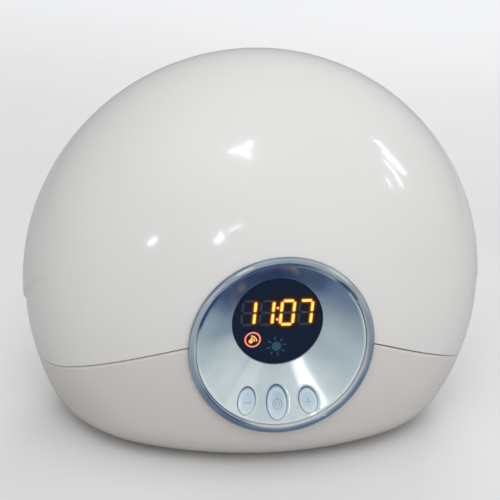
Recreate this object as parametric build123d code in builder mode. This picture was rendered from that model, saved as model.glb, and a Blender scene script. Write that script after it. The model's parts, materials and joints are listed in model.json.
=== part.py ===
from build123d import *
from math import asin, atan2, cos, degrees, hypot, radians, sin, sqrt, tan
import os

# Sunrise alarm clock: a light-diffusing dome on a low base, with a dished control panel in front.
# Millimetres, +Z up, the front faces -Y. The origin is on the ground, under the body's middle.

# ---- body shells ----
body_width = 200.0  # across the widest section
axis_height = 60.2  # ground to the dome's axis at the widest section
front_reach = 68.0  # widest section to the tip of the front cap, along the dome's axis
back_reach = 52.0  # widest section to the tip of the back cap
body_lean = 5.5  # degrees that the dome's front-to-back axis climbs towards the front
front_rim_radius = 56.0  # rounding between the front cap and the widest section
back_rim_radius = 40.0
base_round = 22.0  # rolled edge between the walls and the floor
shell_wall = 2.5
seam_gap = 0.4  # visible line between two shells
seam_climb = 27.75  # side view: the seam is an arc that climbs this far to the ring
seam_forward = 12.9  # lowest point of the seam, in front of the widest section
seam_drop = 26.6  # lowest point of the seam under the dome's axis
base_back_rise = 1.8  # top of the base's back wall above the dome's axis
parting_back = 8.0  # diffuser and rear housing meet this far behind the widest section
foot_radius = 6.5
foot_stand = 1.2  # the feet hold the floor this far off the ground
foot_recess = 1.0
foot_spread_x = 84.0  # between the left and right feet
foot_spread_y = 36.0

# ---- bezel and control panel, on a face plane that leans back ----
face_drop = 7.1  # ring centre under the dome's axis
face_lean = 4.2  # degrees
ring_radius = 36.6
ring_width = 2.9
ring_proud = 1.8  # ring edge above the shell
ring_crown = 1.1
ring_lip = 1.3  # the ring's edge overhangs the hole by this much
ring_depth = 9.6
ring_ledge = 1.4
fit_gap = 0.2  # clearance between pieces that fit into each other
panel_gap = 0.5  # groove between ring and panel
panel_drop = 1.0  # panel rim under the ring edge
panel_wall = 1.5
panel_skirt_wall = 1.3
panel_ledge = 0.4  # the skirt rests on the ring's ledge by this much
dish_depth = 10.05  # rim to aperture
panel_post_points = ((-24.5, 8.0), (24.5, 8.0), (-23.0, -16.0), (23.0, -16.0))
aperture_radius = 18.3
aperture_rise = 6.0  # aperture centre above the ring centre
window_flange = 2.0
window_front = 1.2
window_back = 1.0
shroud_radius = 42.5
shroud_wall = 1.6
shroud_depth = 29.6
shroud_seat = 0.05  # shells to shroud
shroud_clamp_wall = 3.7  # clamping flange, where the shells leave it thinnest

# ---- keys ----
key_drop = 24.5  # key centres under the ring centre
key_pitch = 12.3
key_fan = 10.0  # degrees that the outer keys lean outwards
side_key_radii = (3.3, 5.3)
middle_key_radii = (3.9, 6.6)
key_proud = 1.6  # key top above the dish at the key's centre
key_gap = 0.35
key_round = 1.3
key_flange = 0.8
key_flange_height = 1.0
key_stem_radius = 2.0
key_travel = 0.6

# ---- display ----
digit_height = 11.6
digit_width = 6.4
digit_stroke = 1.5
digit_pitch = 7.3
colon_space = 1.0
digit_slant = 3.0  # degrees
digit_rise = 3.3  # row of digits above the window's centre
segment_height = 0.25
colon_radius = 0.7
colon_half_gap = 2.6
module_width = 34.0
module_height = 27.0
module_depth = 4.5
module_gap = 0.5  # window to module face

# ---- boards, switches and screws ----
board_thickness = 1.6
switch_size = 6.0
switch_height = 3.5
plunger_radius = 1.7
plunger_gap = 0.1
plunger_show = 1.0
plunger_length = 1.8
control_board_radius = 33.0
post_radius = 2.7
screw_radius = 1.2
screw_head_radius = 2.3
screw_head_height = 1.5
screw_gap = 0.05
small_screw_length = 5.0
pilot_spare = 1.0  # hole left beyond a screw's tip
head_gap = 0.6  # room round a sunk screw head

# ---- light engine ----
reflector_wall = 1.5
reflector_flat_radius = 62.0
reflector_flat_back = 28.0
reflector_inset = 11.5  # widest section to the reflector's rim
reflector_rim_back = 10.5
partition_drop = 24.2  # underside of the light chamber's floor, under the dome's axis
partition_wall = 1.6
partition_inset = 4.6
partition_back = 29.8
partition_gap = 0.3
partition_post_radius = 3.5
partition_post_spread = (116.0, 40.0)
reflector_post_points = ((-52.0, 20.0), (-30.0, 50.0), (30.0, 50.0), (52.0, 20.0))
led_board_radius = 38.0
led_ring_radii = (14.0, 28.0)
led_ring_counts = (6, 12)
led_screw_radius = 33.0
led_screw_angles = (30.0, 150.0, 210.0, 330.0)
led_board_rise = 20.0
led_size = 3.5
led_height = 1.2
heat_sink_width = 70.0
heat_sink_height = 46.0
heat_sink_base = 2.5
fin_count = 9
fin_height = 8.5
fin_thickness = 1.6

# ---- base electronics ----
main_board_width = 96.0
main_board_depth = 50.0
main_board_height = 8.0
main_board_back = 0.0
board_hole_inset = 4.0
board_corner = 1.0
capacitor_inset = 18.0  # left end of the main board to the first capacitor
capacitor_pitch = 12.0
capacitor_back = 9.0
capacitor_radius = 5.0
capacitor_height = 16.0
capacitor_round = 0.8
choke_inset = 22.0
choke_radius = 7.0
choke_height = 9.0
choke_flange = 1.5
choke_waist = 0.8
cell_inset = 20.0  # right end of the main board to the coin cell
cell_back = 4.0
cell_radius = 10.0
cell_height = 3.2
ribbon_width = 14.0
ribbon_thickness = 0.8
ribbon_bend = 6.0
ribbon_rise = 16.0  # cable leaves the control board this far above the lower connector
connector_width = 17.0
connector_depth = 5.0
connector_height = 5.0
cell_holder_wall = 1.4
cell_holder_height = 3.4
cell_holder_floor = 0.8

# ---- back wall: socket, set keys, speaker, vents, screws ----
rear_board_back = 36.0
rear_board_width = 58.0
rear_board_height = 32.0
rear_board_drop = 23.0
jack_radius = 5.0
jack_bore_radius = 3.2
jack_bore_depth = 9.0
jack_pin_radius = 1.0
jack_drop = 29.0
jack_body_width = 11.0
jack_body_height = 12.0
jack_body_depth = 7.6
jack_proud = 0.3
set_key_radius = 3.5
set_key_spread = 24.0
set_key_drop = 18.0
set_key_proud = 1.0
speaker_radius = 17.0
speaker_out = 50.0  # speaker centre, sideways from the middle
speaker_drop = 18.0
speaker_collar_wall = 1.4
speaker_collar_depth = 4.0
speaker_magnet_radius = 8.0
speaker_rim_height = 1.5
speaker_depth = 6.5
speaker_cone_depth = 3.0
grille_hole_radius = 1.0
grille_rings = 3
grille_pitch = 4.2
vent_count = 5
vent_pitch = 6.0
vent_height = 2.4
vent_rise = 58.0  # lowest vent above the dome's axis
vent_length = 68.0  # lowest vent; each next one is shorter
vent_shortening = 8.0
housing_screw_inset = 6.0  # widest section to the housing screws
housing_screw_angles = (14.0, 40.0, 140.0, 166.0)
housing_screw_length = 14.0
housing_screw_grip = 6.0  # plastic under the screw head
housing_boss_radius = 4.2
housing_boss_length = 12.0

# ---- worked out from the sizes above ----
half_width = body_width / 2
housing_screw_out = half_width - housing_screw_inset
reflector_rim_radius = half_width - reflector_inset
lean = radians(body_lean)


def cap_radius(reach, rim_radius):
    """Radius of the cap arc that runs tangent into the rim arc."""
    rim_centre = half_width - rim_radius
    return (rim_centre**2 + reach**2 - rim_radius**2) / (2 * (reach - rim_radius))


front_cap_radius = cap_radius(front_reach, front_rim_radius)
back_cap_radius = cap_radius(back_reach, back_rim_radius)
front_cap_back = front_cap_radius - front_reach  # cap centre behind the widest section
back_cap_front = back_cap_radius - back_reach
face_angle = body_lean - degrees(asin(face_drop / front_cap_radius))
face_distance = sqrt(front_cap_radius**2 - ring_radius**2) + ring_proud
face_tilt = radians(face_lean)
ring_front = (
    face_distance * cos(radians(face_angle))
    - front_cap_back * cos(lean)
    + ring_radius * sin(face_tilt)
    + ring_crown
)
front_extent = max(front_cap_radius - front_cap_back * cos(lean), ring_front)
back_extent = back_cap_radius - back_cap_front * cos(lean)
centre_y = (front_extent - back_extent) / 2

dome_centre = Vector(0, centre_y, axis_height)
forward = Vector(0, -cos(lean), sin(lean))
dome_axis = Axis(dome_centre, forward)
dome_plane = Plane(origin=dome_centre, x_dir=(1, 0, 0), z_dir=forward)
profile_plane = Plane(origin=dome_centre, x_dir=(0, -sin(lean), -cos(lean)), z_dir=(-1, 0, 0))
back_plane = Plane(origin=dome_centre, x_dir=(-1, 0, 0), z_dir=forward * -1)

face_direction = Vector(0, -cos(radians(face_angle)), sin(radians(face_angle)))
face_centre = dome_centre - forward * front_cap_back + face_direction * face_distance
face_forward = Vector(0, -cos(face_tilt), sin(face_tilt))
face_plane = Plane(origin=face_centre, x_dir=(1, 0, 0), z_dir=face_forward)
face_profile = Plane(origin=face_centre, x_dir=(1, 0, 0), z_dir=(0, -sin(face_tilt), -cos(face_tilt)))
face_axis = Axis(face_centre, face_forward)

back_cap_centre = dome_centre + forward * back_cap_front
set_key_points = [(side * set_key_spread / 2, -set_key_drop) for side in (-1, 1)]
speaker_point = dome_plane.from_local_coords(
    (speaker_out, -speaker_drop, back_cap_front - sqrt(back_cap_radius**2 - speaker_out**2 - speaker_drop**2))
)
speaker_normal = (speaker_point - back_cap_centre).normalized()
speaker_plane = Plane(origin=speaker_point - speaker_normal * shell_wall, z_dir=speaker_normal)
partition_height = axis_height - partition_drop
base_back_rim = axis_height + base_back_rise
seam_y = centre_y - seam_forward
seam_run = seam_y - face_centre.Y
seam_radius = (seam_run**2 + seam_climb**2) / (2 * seam_climb)
seam_z = axis_height - seam_drop + seam_radius
side_reach = half_width + 10  # sideways reach of the blocks that cut the shells apart
sky = axis_height + body_width
underground = -axis_height


# ---- shells ----
def rounded_dome(inset):
    """The body's solid of revolution, inset evenly, with its floor cut flat and its edge rolled."""
    front_rim_angle = degrees(atan2(front_cap_back, half_width - front_rim_radius))
    back_rim_angle = degrees(atan2(back_cap_front, half_width - back_rim_radius))
    with BuildPart() as dome:
        with BuildSketch(profile_plane):
            with BuildLine():
                CenterArc((0, -front_cap_back), front_cap_radius - inset, front_rim_angle, 90 - front_rim_angle)
                CenterArc((half_width - front_rim_radius, 0), front_rim_radius - inset, 0, front_rim_angle)
                CenterArc((half_width - back_rim_radius, 0), back_rim_radius - inset, 0, -back_rim_angle)
                CenterArc((0, back_cap_front), back_cap_radius - inset, -back_rim_angle, back_rim_angle - 90)
                Line((0, front_reach - inset), (0, inset - back_reach))
            make_face()
        revolve(axis=dome_axis)
        split(bisect_by=Plane.XY.offset(foot_stand + inset), keep=Keep.TOP)
        fillet(dome.faces().sort_by(Axis.Z)[0].edges(), base_round - inset)
    return dome.part


def seam_block(arc_radius, far_z):
    """Block on one side of the seam: an arc in side view, then level over the base's back wall.

    far_z says which side: a height over the crown, or one under the ground.
    """
    rim_z = base_back_rim + seam_radius - arc_radius
    rim_y = seam_y + sqrt(arc_radius**2 - (seam_z - rim_z) ** 2)
    with BuildPart() as block:
        with BuildSketch(Plane.YZ):
            with BuildLine():
                ThreePointArc((seam_y - arc_radius, seam_z), (seam_y, seam_z - arc_radius), (rim_y, rim_z))
                Polyline(
                    (rim_y, rim_z),
                    (body_width, rim_z),
                    (body_width, far_z),
                    (-body_width, far_z),
                    (-body_width, seam_z),
                    (seam_y - arc_radius, seam_z),
                )
            make_face()
        extrude(amount=side_reach, both=True)
    return block.part


outer_dome = rounded_dome(0)
mid_wall = rounded_dome(shell_wall / 2)  # trims what grows out of a wall, half way into it
cavity = rounded_dome(shell_wall)
above_seam = seam_block(seam_radius, sky)
below_gap = seam_block(seam_radius - seam_gap, underground)
front_parting = dome_plane.offset(-parting_back)
back_parting = dome_plane.offset(-parting_back - seam_gap)


def rim_points(side):
    """Housing screw places; side is -1 on the back plane, whose x runs the other way."""
    return [
        (side * housing_screw_out * cos(radians(angle)), housing_screw_out * sin(radians(angle)))
        for angle in housing_screw_angles
    ]


def corner_points(width, depth, middle=0.0):
    """The four corners of a rectangle centred on (0, middle)."""
    return [(x * width / 2, middle + y * depth / 2) for x in (-1, 1) for y in (-1, 1)]


def screw(length):
    """Pan-head screw: the head stands on z = 0 and the shank runs down."""
    with BuildPart() as body:
        Cylinder(screw_head_radius, screw_head_height, align=(Align.CENTER, Align.CENTER, Align.MIN))
        fillet(body.edges().sort_by(Axis.Z)[-1], screw_head_height / 2)
        Cylinder(screw_radius, length, align=(Align.CENTER, Align.CENTER, Align.MAX))
    return body.part


hole_radius = screw_radius + screw_gap
small_screw = screw(small_screw_length)
post_points = corner_points(*partition_post_spread, centre_y)
foot_points = corner_points(foot_spread_x, foot_spread_y)
board_hole_points = corner_points(
    main_board_width - 2 * board_hole_inset,
    main_board_depth - 2 * board_hole_inset,
    centre_y + main_board_back,
)
rear_hole_points = corner_points(
    rear_board_width - 2 * board_hole_inset,
    rear_board_height - 2 * board_hole_inset,
    -rear_board_drop,
)

# The round hole in the front that the bezel's tube passes through.
with BuildPart() as face_hole:
    with BuildSketch(face_plane.offset(-shroud_depth)):
        Circle(ring_radius - ring_lip + fit_gap)
    extrude(amount=2 * shroud_depth)

# ---- diffuser_dome: front and top, milky, with four screw bosses inside its rear edge ----
with BuildPart() as rim_bosses:
    with BuildSketch(dome_plane.offset(-parting_back)):
        with Locations(*rim_points(1)):
            Circle(housing_boss_radius)
    extrude(amount=housing_boss_length)
    add(mid_wall, mode=Mode.INTERSECT)

with BuildPart() as diffuser_dome:
    add(outer_dome)
    add(cavity, mode=Mode.SUBTRACT)
    add(rim_bosses.part)
    add(below_gap, mode=Mode.SUBTRACT)
    split(bisect_by=front_parting, keep=Keep.TOP)
    add(face_hole.part, mode=Mode.SUBTRACT)
    with BuildSketch(front_parting):
        with Locations(*rim_points(1)):
            Circle(hole_radius)
    extrude(amount=housing_boss_length - pilot_spare, mode=Mode.SUBTRACT)
diffuser_dome.part.label = "diffuser_dome"

# ---- base_shell: chin, floor and low back wall ----
with BuildPart() as speaker_collar:
    with BuildSketch(speaker_plane.offset(-speaker_collar_depth)):
        Circle(speaker_radius + fit_gap + speaker_collar_wall)
        Circle(speaker_radius + fit_gap, mode=Mode.SUBTRACT)
    extrude(amount=speaker_collar_depth + shell_wall)
    add(mid_wall, mode=Mode.INTERSECT)

with BuildPart() as base_posts:
    with BuildSketch(Plane.XY.offset(foot_stand)):
        with Locations(*post_points):
            Circle(partition_post_radius)
    extrude(amount=partition_height - foot_stand)
    with BuildSketch(Plane.XY.offset(foot_stand)):
        with Locations(*board_hole_points):
            Circle(post_radius)
    extrude(amount=main_board_height - foot_stand)
    with BuildSketch(back_plane.offset(rear_board_back + board_thickness)):
        with Locations(*rear_hole_points):
            Circle(post_radius)
    extrude(amount=back_reach)
    add(mid_wall, mode=Mode.INTERSECT)
    with BuildSketch(Plane.XY.offset(partition_height)):
        with Locations(*post_points):
            Circle(hole_radius)
    extrude(amount=-small_screw_length - pilot_spare, mode=Mode.SUBTRACT)
    with BuildSketch(Plane.XY.offset(main_board_height)):
        with Locations(*board_hole_points):
            Circle(hole_radius)
    extrude(amount=-small_screw_length, mode=Mode.SUBTRACT)
    with BuildSketch(back_plane.offset(rear_board_back)):
        with Locations(*rear_hole_points):
            Circle(hole_radius)
    extrude(amount=small_screw_length, mode=Mode.SUBTRACT)

with BuildPart() as base_shell:
    add(outer_dome)
    add(face_hole.part, mode=Mode.SUBTRACT)
    add(above_seam, mode=Mode.SUBTRACT)
    add(cavity, mode=Mode.SUBTRACT)
    add(speaker_collar.part)
    add(base_posts.part)
    with BuildSketch(Plane.XY):
        with Locations(*foot_points):
            Circle(foot_radius + fit_gap)
    extrude(amount=foot_stand + foot_recess, mode=Mode.SUBTRACT)
    with BuildSketch(back_plane.offset(rear_board_back)):
        with Locations((0, -jack_drop)):
            Circle(jack_radius + fit_gap)
        with Locations(*set_key_points):
            Circle(set_key_radius + key_gap)
    extrude(amount=back_reach, mode=Mode.SUBTRACT)
    with BuildSketch(speaker_plane.offset(-fit_gap)):
        Circle(grille_hole_radius)
        for ring in range(1, grille_rings + 1):
            with PolarLocations(ring * grille_pitch, 6 * ring):
                Circle(grille_hole_radius)
    extrude(amount=2 * shell_wall, mode=Mode.SUBTRACT)
base_shell.part.label = "base_shell"

# ---- rear_housing: upper back, with vents and sunk screw wells ----
with BuildPart() as rear_posts:
    with BuildSketch(back_plane.offset(parting_back + seam_gap)):
        with Locations(*rim_points(-1)):
            Circle(housing_boss_radius)
    extrude(amount=back_reach)
    with BuildSketch(back_plane.offset(reflector_flat_back + reflector_wall)):
        with Locations(*reflector_post_points):
            Circle(post_radius)
    extrude(amount=back_reach)
    add(mid_wall, mode=Mode.INTERSECT)

with BuildPart() as rear_housing:
    add(outer_dome)
    add(cavity, mode=Mode.SUBTRACT)
    add(rear_posts.part)
    split(bisect_by=back_parting, keep=Keep.BOTTOM)
    add(below_gap, mode=Mode.SUBTRACT)
    with BuildSketch(back_plane.offset(parting_back)):
        with Locations(*rim_points(-1)):
            Circle(hole_radius)
    extrude(amount=back_reach, mode=Mode.SUBTRACT)
    with BuildSketch(back_plane.offset(parting_back + seam_gap + housing_screw_grip)):
        with Locations(*rim_points(-1)):
            Circle(screw_head_radius + head_gap)
    extrude(amount=back_reach, mode=Mode.SUBTRACT)
    with BuildSketch(back_plane.offset(reflector_flat_back)):
        with Locations(*reflector_post_points):
            Circle(hole_radius)
    extrude(amount=small_screw_length, mode=Mode.SUBTRACT)
    with BuildSketch(back_plane.offset(parting_back + housing_screw_grip)):
        for row in range(vent_count):
            with Locations((0, vent_rise + row * vent_pitch)):
                SlotOverall(vent_length - row * vent_shortening, vent_height)
    extrude(amount=back_reach, mode=Mode.SUBTRACT)
rear_housing.part.label = "rear_housing"

# ---- bezel_ring: clear rim; its edge lies on the shells and its tube goes through the hole ----
tube_radius = ring_radius - ring_lip
ring_inside = ring_radius - ring_width
panel_radius = ring_inside - panel_gap
ledge_radius = panel_radius - panel_ledge
ledge_depth = ring_depth - ring_ledge
with BuildPart() as shell_under_edge:
    add(rounded_dome(-fit_gap))
    with BuildSketch(face_plane.offset(-2 * shroud_depth)):
        Circle(tube_radius)
    extrude(amount=3 * shroud_depth, mode=Mode.SUBTRACT)

with BuildPart() as bezel_ring:
    with BuildSketch(face_profile):
        with BuildLine():
            Polyline((ring_radius, 0), (ring_radius, -ring_depth), (ledge_radius, -ring_depth))
            Polyline((ledge_radius, -ring_depth), (ledge_radius, -ledge_depth), (ring_inside, -ledge_depth))
            Line((ring_inside, -ledge_depth), (ring_inside, 0))
            ThreePointArc((ring_inside, 0), (ring_radius - ring_width / 2, ring_crown), (ring_radius, 0))
        make_face()
    revolve(axis=face_axis)
    add(shell_under_edge.part, mode=Mode.SUBTRACT)
bezel_ring.part.label = "bezel_ring"

# ---- control_panel: an off-centre dish from the rim down to the round aperture ----
aperture_depth = panel_drop + dish_depth
panel_back = aperture_depth + panel_wall
dish_mouth_radius = panel_radius - panel_wall / 2


def dish_depth_at(x, y):
    """Depth of the dish's surface under the ring plane, at a point of the face plane."""
    low, high = 0.0, 1.0
    for _ in range(40):
        share = (low + high) / 2
        radius = dish_mouth_radius + share * (aperture_radius - dish_mouth_radius)
        if hypot(x, y - share * aperture_rise) < radius:
            low = share
        else:
            high = share
    return panel_drop + share * dish_depth


with BuildPart() as dish:
    with BuildSketch(face_plane.offset(-panel_drop)):
        Circle(dish_mouth_radius)
    with BuildSketch(face_plane.offset(-aperture_depth)):
        with Locations((0, aperture_rise)):
            Circle(aperture_radius)
    loft()
    with BuildSketch(face_plane.offset(-panel_back)):
        with Locations((0, aperture_rise)):
            Circle(aperture_radius)
    extrude(amount=panel_wall)

key_centres = [(-key_pitch, -key_drop), (0, -key_drop), (key_pitch, -key_drop)]
key_radii = [side_key_radii, middle_key_radii, side_key_radii]
key_turns = [-key_fan, 0, key_fan]
key_flange_top = aperture_depth + key_gap
board_front = panel_back + window_back + module_gap + module_depth + fit_gap
board_back = board_front + board_thickness
with BuildPart() as control_panel:
    with BuildSketch(face_plane.offset(-panel_drop - panel_wall)):
        Circle(panel_radius)
    with BuildSketch(face_plane.offset(-panel_back)):
        with Locations((0, aperture_rise)):
            Circle(aperture_radius + window_flange)
    loft()
    with BuildSketch(face_plane.offset(-panel_drop - panel_wall)):
        Circle(panel_radius)
    extrude(amount=panel_wall)
    with BuildSketch(face_plane.offset(-ledge_depth)):
        Circle(panel_radius)
        Circle(panel_radius - panel_skirt_wall, mode=Mode.SUBTRACT)
    extrude(amount=ledge_depth - panel_drop)
    with BuildSketch(face_plane.offset(-board_front)):
        with Locations(*panel_post_points):
            Circle(post_radius)
    extrude(amount=board_front - 2 * panel_drop)
    add(dish.part, mode=Mode.SUBTRACT)
    for centre, radii, turn in zip(key_centres, key_radii, key_turns):
        with BuildSketch(face_plane.offset(-key_flange_top)):
            with Locations(Location((*centre, 0), (0, 0, turn))):
                Ellipse(radii[0] + key_gap, radii[1] + key_gap)
        extrude(amount=key_flange_top, mode=Mode.SUBTRACT)
    with BuildSketch(face_plane.offset(-board_front)):
        with Locations(*panel_post_points):
            Circle(hole_radius)
    extrude(amount=small_screw_length, mode=Mode.SUBTRACT)
control_panel.part.label = "control_panel"

# ---- display_window: dark disc that fills the aperture, with a flange behind it ----
with BuildPart() as display_window:
    with BuildSketch(face_plane.offset(-panel_back - window_back)):
        with Locations((0, aperture_rise)):
            Circle(aperture_radius + window_flange - fit_gap)
    extrude(amount=window_back - fit_gap / 2)
    with BuildSketch(face_plane.offset(-panel_back - fit_gap)):
        with Locations((0, aperture_rise)):
            Circle(aperture_radius - fit_gap)
    extrude(amount=window_front + fit_gap)
    chamfer(display_window.edges().sort_by(face_axis)[-1], fit_gap)
display_window.part.label = "display_window"

# ---- display_module and its segments: four seven-segment digits and a colon ----
module_front = panel_back + window_back + module_gap
row_y = aperture_rise + digit_rise
with BuildPart() as display_module:
    with BuildSketch(face_plane.offset(-module_front - module_depth)):
        with Locations((0, aperture_rise - module_gap)):
            RectangleRounded(module_width, module_height, board_corner)
    extrude(amount=module_depth)
display_module.part.label = "display_module"

shown_digits = "1107"
digit_segments = {"0": "abcdef", "1": "bc", "7": "abc"}
stroke_half_width = (digit_width - digit_stroke) / 2
stroke_half_height = (digit_height - digit_stroke) / 2
segment_gap = digit_stroke / 5
segment_places = {
    "a": (0, stroke_half_height, 0),
    "b": (stroke_half_width, stroke_half_height / 2, 90),
    "c": (stroke_half_width, -stroke_half_height / 2, 90),
    "d": (0, -stroke_half_height, 0),
    "e": (-stroke_half_width, -stroke_half_height / 2, 90),
    "f": (-stroke_half_width, stroke_half_height / 2, 90),
    "g": (0, 0, 0),
}
flat_length = 2 * stroke_half_width - digit_stroke / 2 - segment_gap
upright_length = stroke_half_height - segment_gap


def digit_centre(place):
    """Sideways place of a digit; the colon's space parts the two pairs."""
    return (place - 1.5) * digit_pitch + (colon_space / 2 if place > 1 else -colon_space / 2)


def segments(lit):
    """The lit segments with the colon, or the dark ones, as separate thin bars on the module."""
    lean_across = tan(radians(digit_slant))
    with BuildPart() as bars:
        with BuildSketch(face_plane.offset(-module_front)):
            for place, digit in enumerate(shown_digits):
                for name, (x, y, turn) in segment_places.items():
                    if (name in digit_segments[digit]) == lit:
                        spot = (digit_centre(place) + x + y * lean_across, row_y + y, 0)
                        length = upright_length if turn else flat_length
                        with Locations(Location(spot, (0, 0, turn - digit_slant if turn else 0))):
                            SlotOverall(length, digit_stroke)
            if lit:
                for side in (-1, 1):
                    offset = side * colon_half_gap
                    with Locations((offset * lean_across, row_y + offset)):
                        Circle(colon_radius)
        extrude(amount=segment_height)
    return bars.part


lit_segments = segments(True)
lit_segments.label = "lit_segments"
unlit_segments = segments(False)
unlit_segments.label = "unlit_segments"

# ---- keys: oval caps with a flange behind the panel and a stem down to the switch ----
switch_front = board_front - switch_height
plunger_top = switch_front - plunger_show


def key(centre, radii, turn):
    """One key, proud of the dish by key_proud at its centre."""
    top = dish_depth_at(*centre) - key_proud
    spot = Location((*centre, 0), (0, 0, turn))
    with BuildPart() as cap:
        with BuildSketch(face_plane.offset(-key_flange_top)):
            with Locations(spot):
                Ellipse(*radii)
        extrude(amount=key_flange_top - top)
        fillet(cap.edges().sort_by(face_axis)[-1], key_round)
        with BuildSketch(face_plane.offset(-key_flange_top - key_flange_height)):
            with Locations(spot):
                Ellipse(radii[0] + key_flange, radii[1] + key_flange)
        extrude(amount=key_flange_height)
        with BuildSketch(face_plane.offset(-plunger_top)):
            with Locations(centre):
                Circle(key_stem_radius)
        extrude(amount=plunger_top - key_flange_top)
    return cap.part


def plunger(plane, centre, top):
    """Switch plunger: its head stands out of the switch and its shank runs in the body."""
    with BuildPart() as pin:
        with BuildSketch(plane.offset(-top - plunger_length)):
            with Locations(centre):
                Circle(plunger_radius)
        extrude(amount=plunger_length)
    return pin.part


def switches(plane, centres, front, height):
    """Tactile switch bodies with a bore for the plunger."""
    with BuildPart() as bodies:
        with BuildSketch(plane.offset(-front - height)):
            with Locations(*centres):
                RectangleRounded(switch_size, switch_size, fit_gap)
        extrude(amount=height)
        with BuildSketch(plane.offset(-front)):
            with Locations(*centres):
                Circle(plunger_radius + plunger_gap)
        extrude(amount=-plunger_length - key_travel, mode=Mode.SUBTRACT)
    return bodies.part


key_names = ("minus", "light", "plus")
keys = {}
plungers = {}
for name, centre, radii, turn in zip(key_names, key_centres, key_radii, key_turns):
    keys[name] = key(centre, radii, turn)
    keys[name].label = "button_" + name
    plungers[name] = plunger(face_plane, centre, plunger_top)
    plungers[name].label = "plunger_" + name
tact_switches = switches(face_plane, key_centres, switch_front, switch_height)
tact_switches.label = "tact_switches"

# ---- control_board: round board behind the panel, on the panel's four posts ----
with BuildPart() as control_board:
    with BuildSketch(face_plane.offset(-board_back)):
        Circle(control_board_radius)
        with Locations(*panel_post_points):
            Circle(hole_radius, mode=Mode.SUBTRACT)
    extrude(amount=board_thickness)
control_board.part.label = "control_board"

face_back_plane = Plane(origin=face_centre, x_dir=(-1, 0, 0), z_dir=face_forward * -1)
with BuildPart(face_back_plane.offset(board_back)) as control_board_screws:
    with Locations(*[(-x, y) for x, y in panel_post_points]):
        add(small_screw)
control_board_screws.part.label = "control_board_screws"

# Where the ribbon cable runs: out of the control board, back, and down to the main board.
board_top = main_board_height + board_thickness
board_y = centre_y + main_board_back
connector_back = board_back + connector_depth
ribbon_end_z = board_top + connector_height
ribbon_y = board_y - main_board_depth / 2 + connector_depth
ribbon_start_z = ribbon_end_z + ribbon_rise
ribbon_drop = (face_centre.Z - ribbon_start_z) / cos(face_tilt) - connector_back * tan(face_tilt)

# ---- control_shroud: cup behind the panel; its flange clamps the shells and shades the display ----
inner_cap_depth = face_distance - front_cap_radius + shell_wall
cap_centre = face_plane.to_local_coords(dome_centre - forward * front_cap_back)
shroud_low_reach = sqrt((front_cap_radius - shell_wall) ** 2 - (shroud_radius + cap_centre.Y) ** 2)
shroud_clamp_depth = shroud_clamp_wall - cap_centre.Z - shroud_low_reach
with BuildPart() as outside_cavity:
    Box(2 * body_width, 2 * body_width, 2 * sky)
    add(rounded_dome(shell_wall + shroud_seat), mode=Mode.SUBTRACT)

with BuildPart() as control_shroud:
    with BuildSketch(face_plane.offset(-shroud_depth)):
        Circle(shroud_radius)
    extrude(amount=shroud_depth - inner_cap_depth)
    with BuildSketch(face_plane.offset(-shroud_depth + shroud_wall)):
        Circle(shroud_radius - shroud_wall)
    extrude(amount=shroud_depth - shroud_wall - shroud_clamp_depth, mode=Mode.SUBTRACT)
    with BuildSketch(face_plane.offset(-shroud_depth + shroud_wall)):
        Circle(tube_radius + fit_gap)
    extrude(amount=2 * shroud_depth, mode=Mode.SUBTRACT)
    with BuildSketch(face_plane.offset(-shroud_depth)):
        with Locations((0, -ribbon_drop)):
            Rectangle(connector_width, 2 * ribbon_thickness)
    extrude(amount=shroud_wall, mode=Mode.SUBTRACT)
    add(outside_cavity.part, mode=Mode.SUBTRACT)
control_shroud.part.label = "control_shroud"

# ---- light_partition: floor of the light chamber, on the base's posts ----
with BuildPart() as light_partition:
    add(rounded_dome(partition_inset))
    split(bisect_by=Plane.XY.offset(partition_height), keep=Keep.TOP)
    split(bisect_by=Plane.XY.offset(partition_height + partition_wall), keep=Keep.BOTTOM)
    split(bisect_by=dome_plane.offset(-partition_back), keep=Keep.TOP)
    with BuildSketch(face_plane.offset(-2 * shroud_depth)):
        Circle(shroud_radius + partition_gap)
    extrude(amount=3 * shroud_depth, mode=Mode.SUBTRACT)
    with BuildSketch(Plane.XY.offset(partition_height)):
        with Locations(*post_points):
            Circle(hole_radius)
    extrude(amount=partition_wall, mode=Mode.SUBTRACT)
light_partition.part.label = "light_partition"

with BuildPart(Plane.XY.offset(partition_height + partition_wall)) as partition_screws:
    with Locations(*post_points):
        add(small_screw)
partition_screws.part.label = "partition_screws"

# ---- reflector_panel: white dish at the back of the light chamber, cut level over the partition ----
flat_front = -reflector_flat_back
rim_front = -reflector_rim_back
led_screw_points = [
    (led_screw_radius * cos(radians(angle)), led_board_rise + led_screw_radius * sin(radians(angle)))
    for angle in led_screw_angles
]
with BuildPart() as reflector_panel:
    with BuildSketch(profile_plane):
        with BuildLine():
            Polyline(
                (0, flat_front),
                (reflector_flat_radius, flat_front),
                (reflector_rim_radius, rim_front),
                (reflector_rim_radius, rim_front - reflector_wall),
                (reflector_flat_radius, flat_front - reflector_wall),
                (0, flat_front - reflector_wall),
                close=True,
            )
        make_face()
    revolve(axis=dome_axis)
    split(bisect_by=Plane.XY.offset(partition_height + partition_wall + partition_gap), keep=Keep.TOP)
    with BuildSketch(dome_plane.offset(flat_front)):
        with Locations(*led_screw_points, *reflector_post_points):
            Circle(hole_radius)
    extrude(amount=-reflector_wall, mode=Mode.SUBTRACT)
reflector_panel.part.label = "reflector_panel"

with BuildPart(dome_plane.offset(flat_front)) as reflector_screws:
    with Locations(*reflector_post_points):
        add(small_screw)
reflector_screws.part.label = "reflector_screws"

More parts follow.
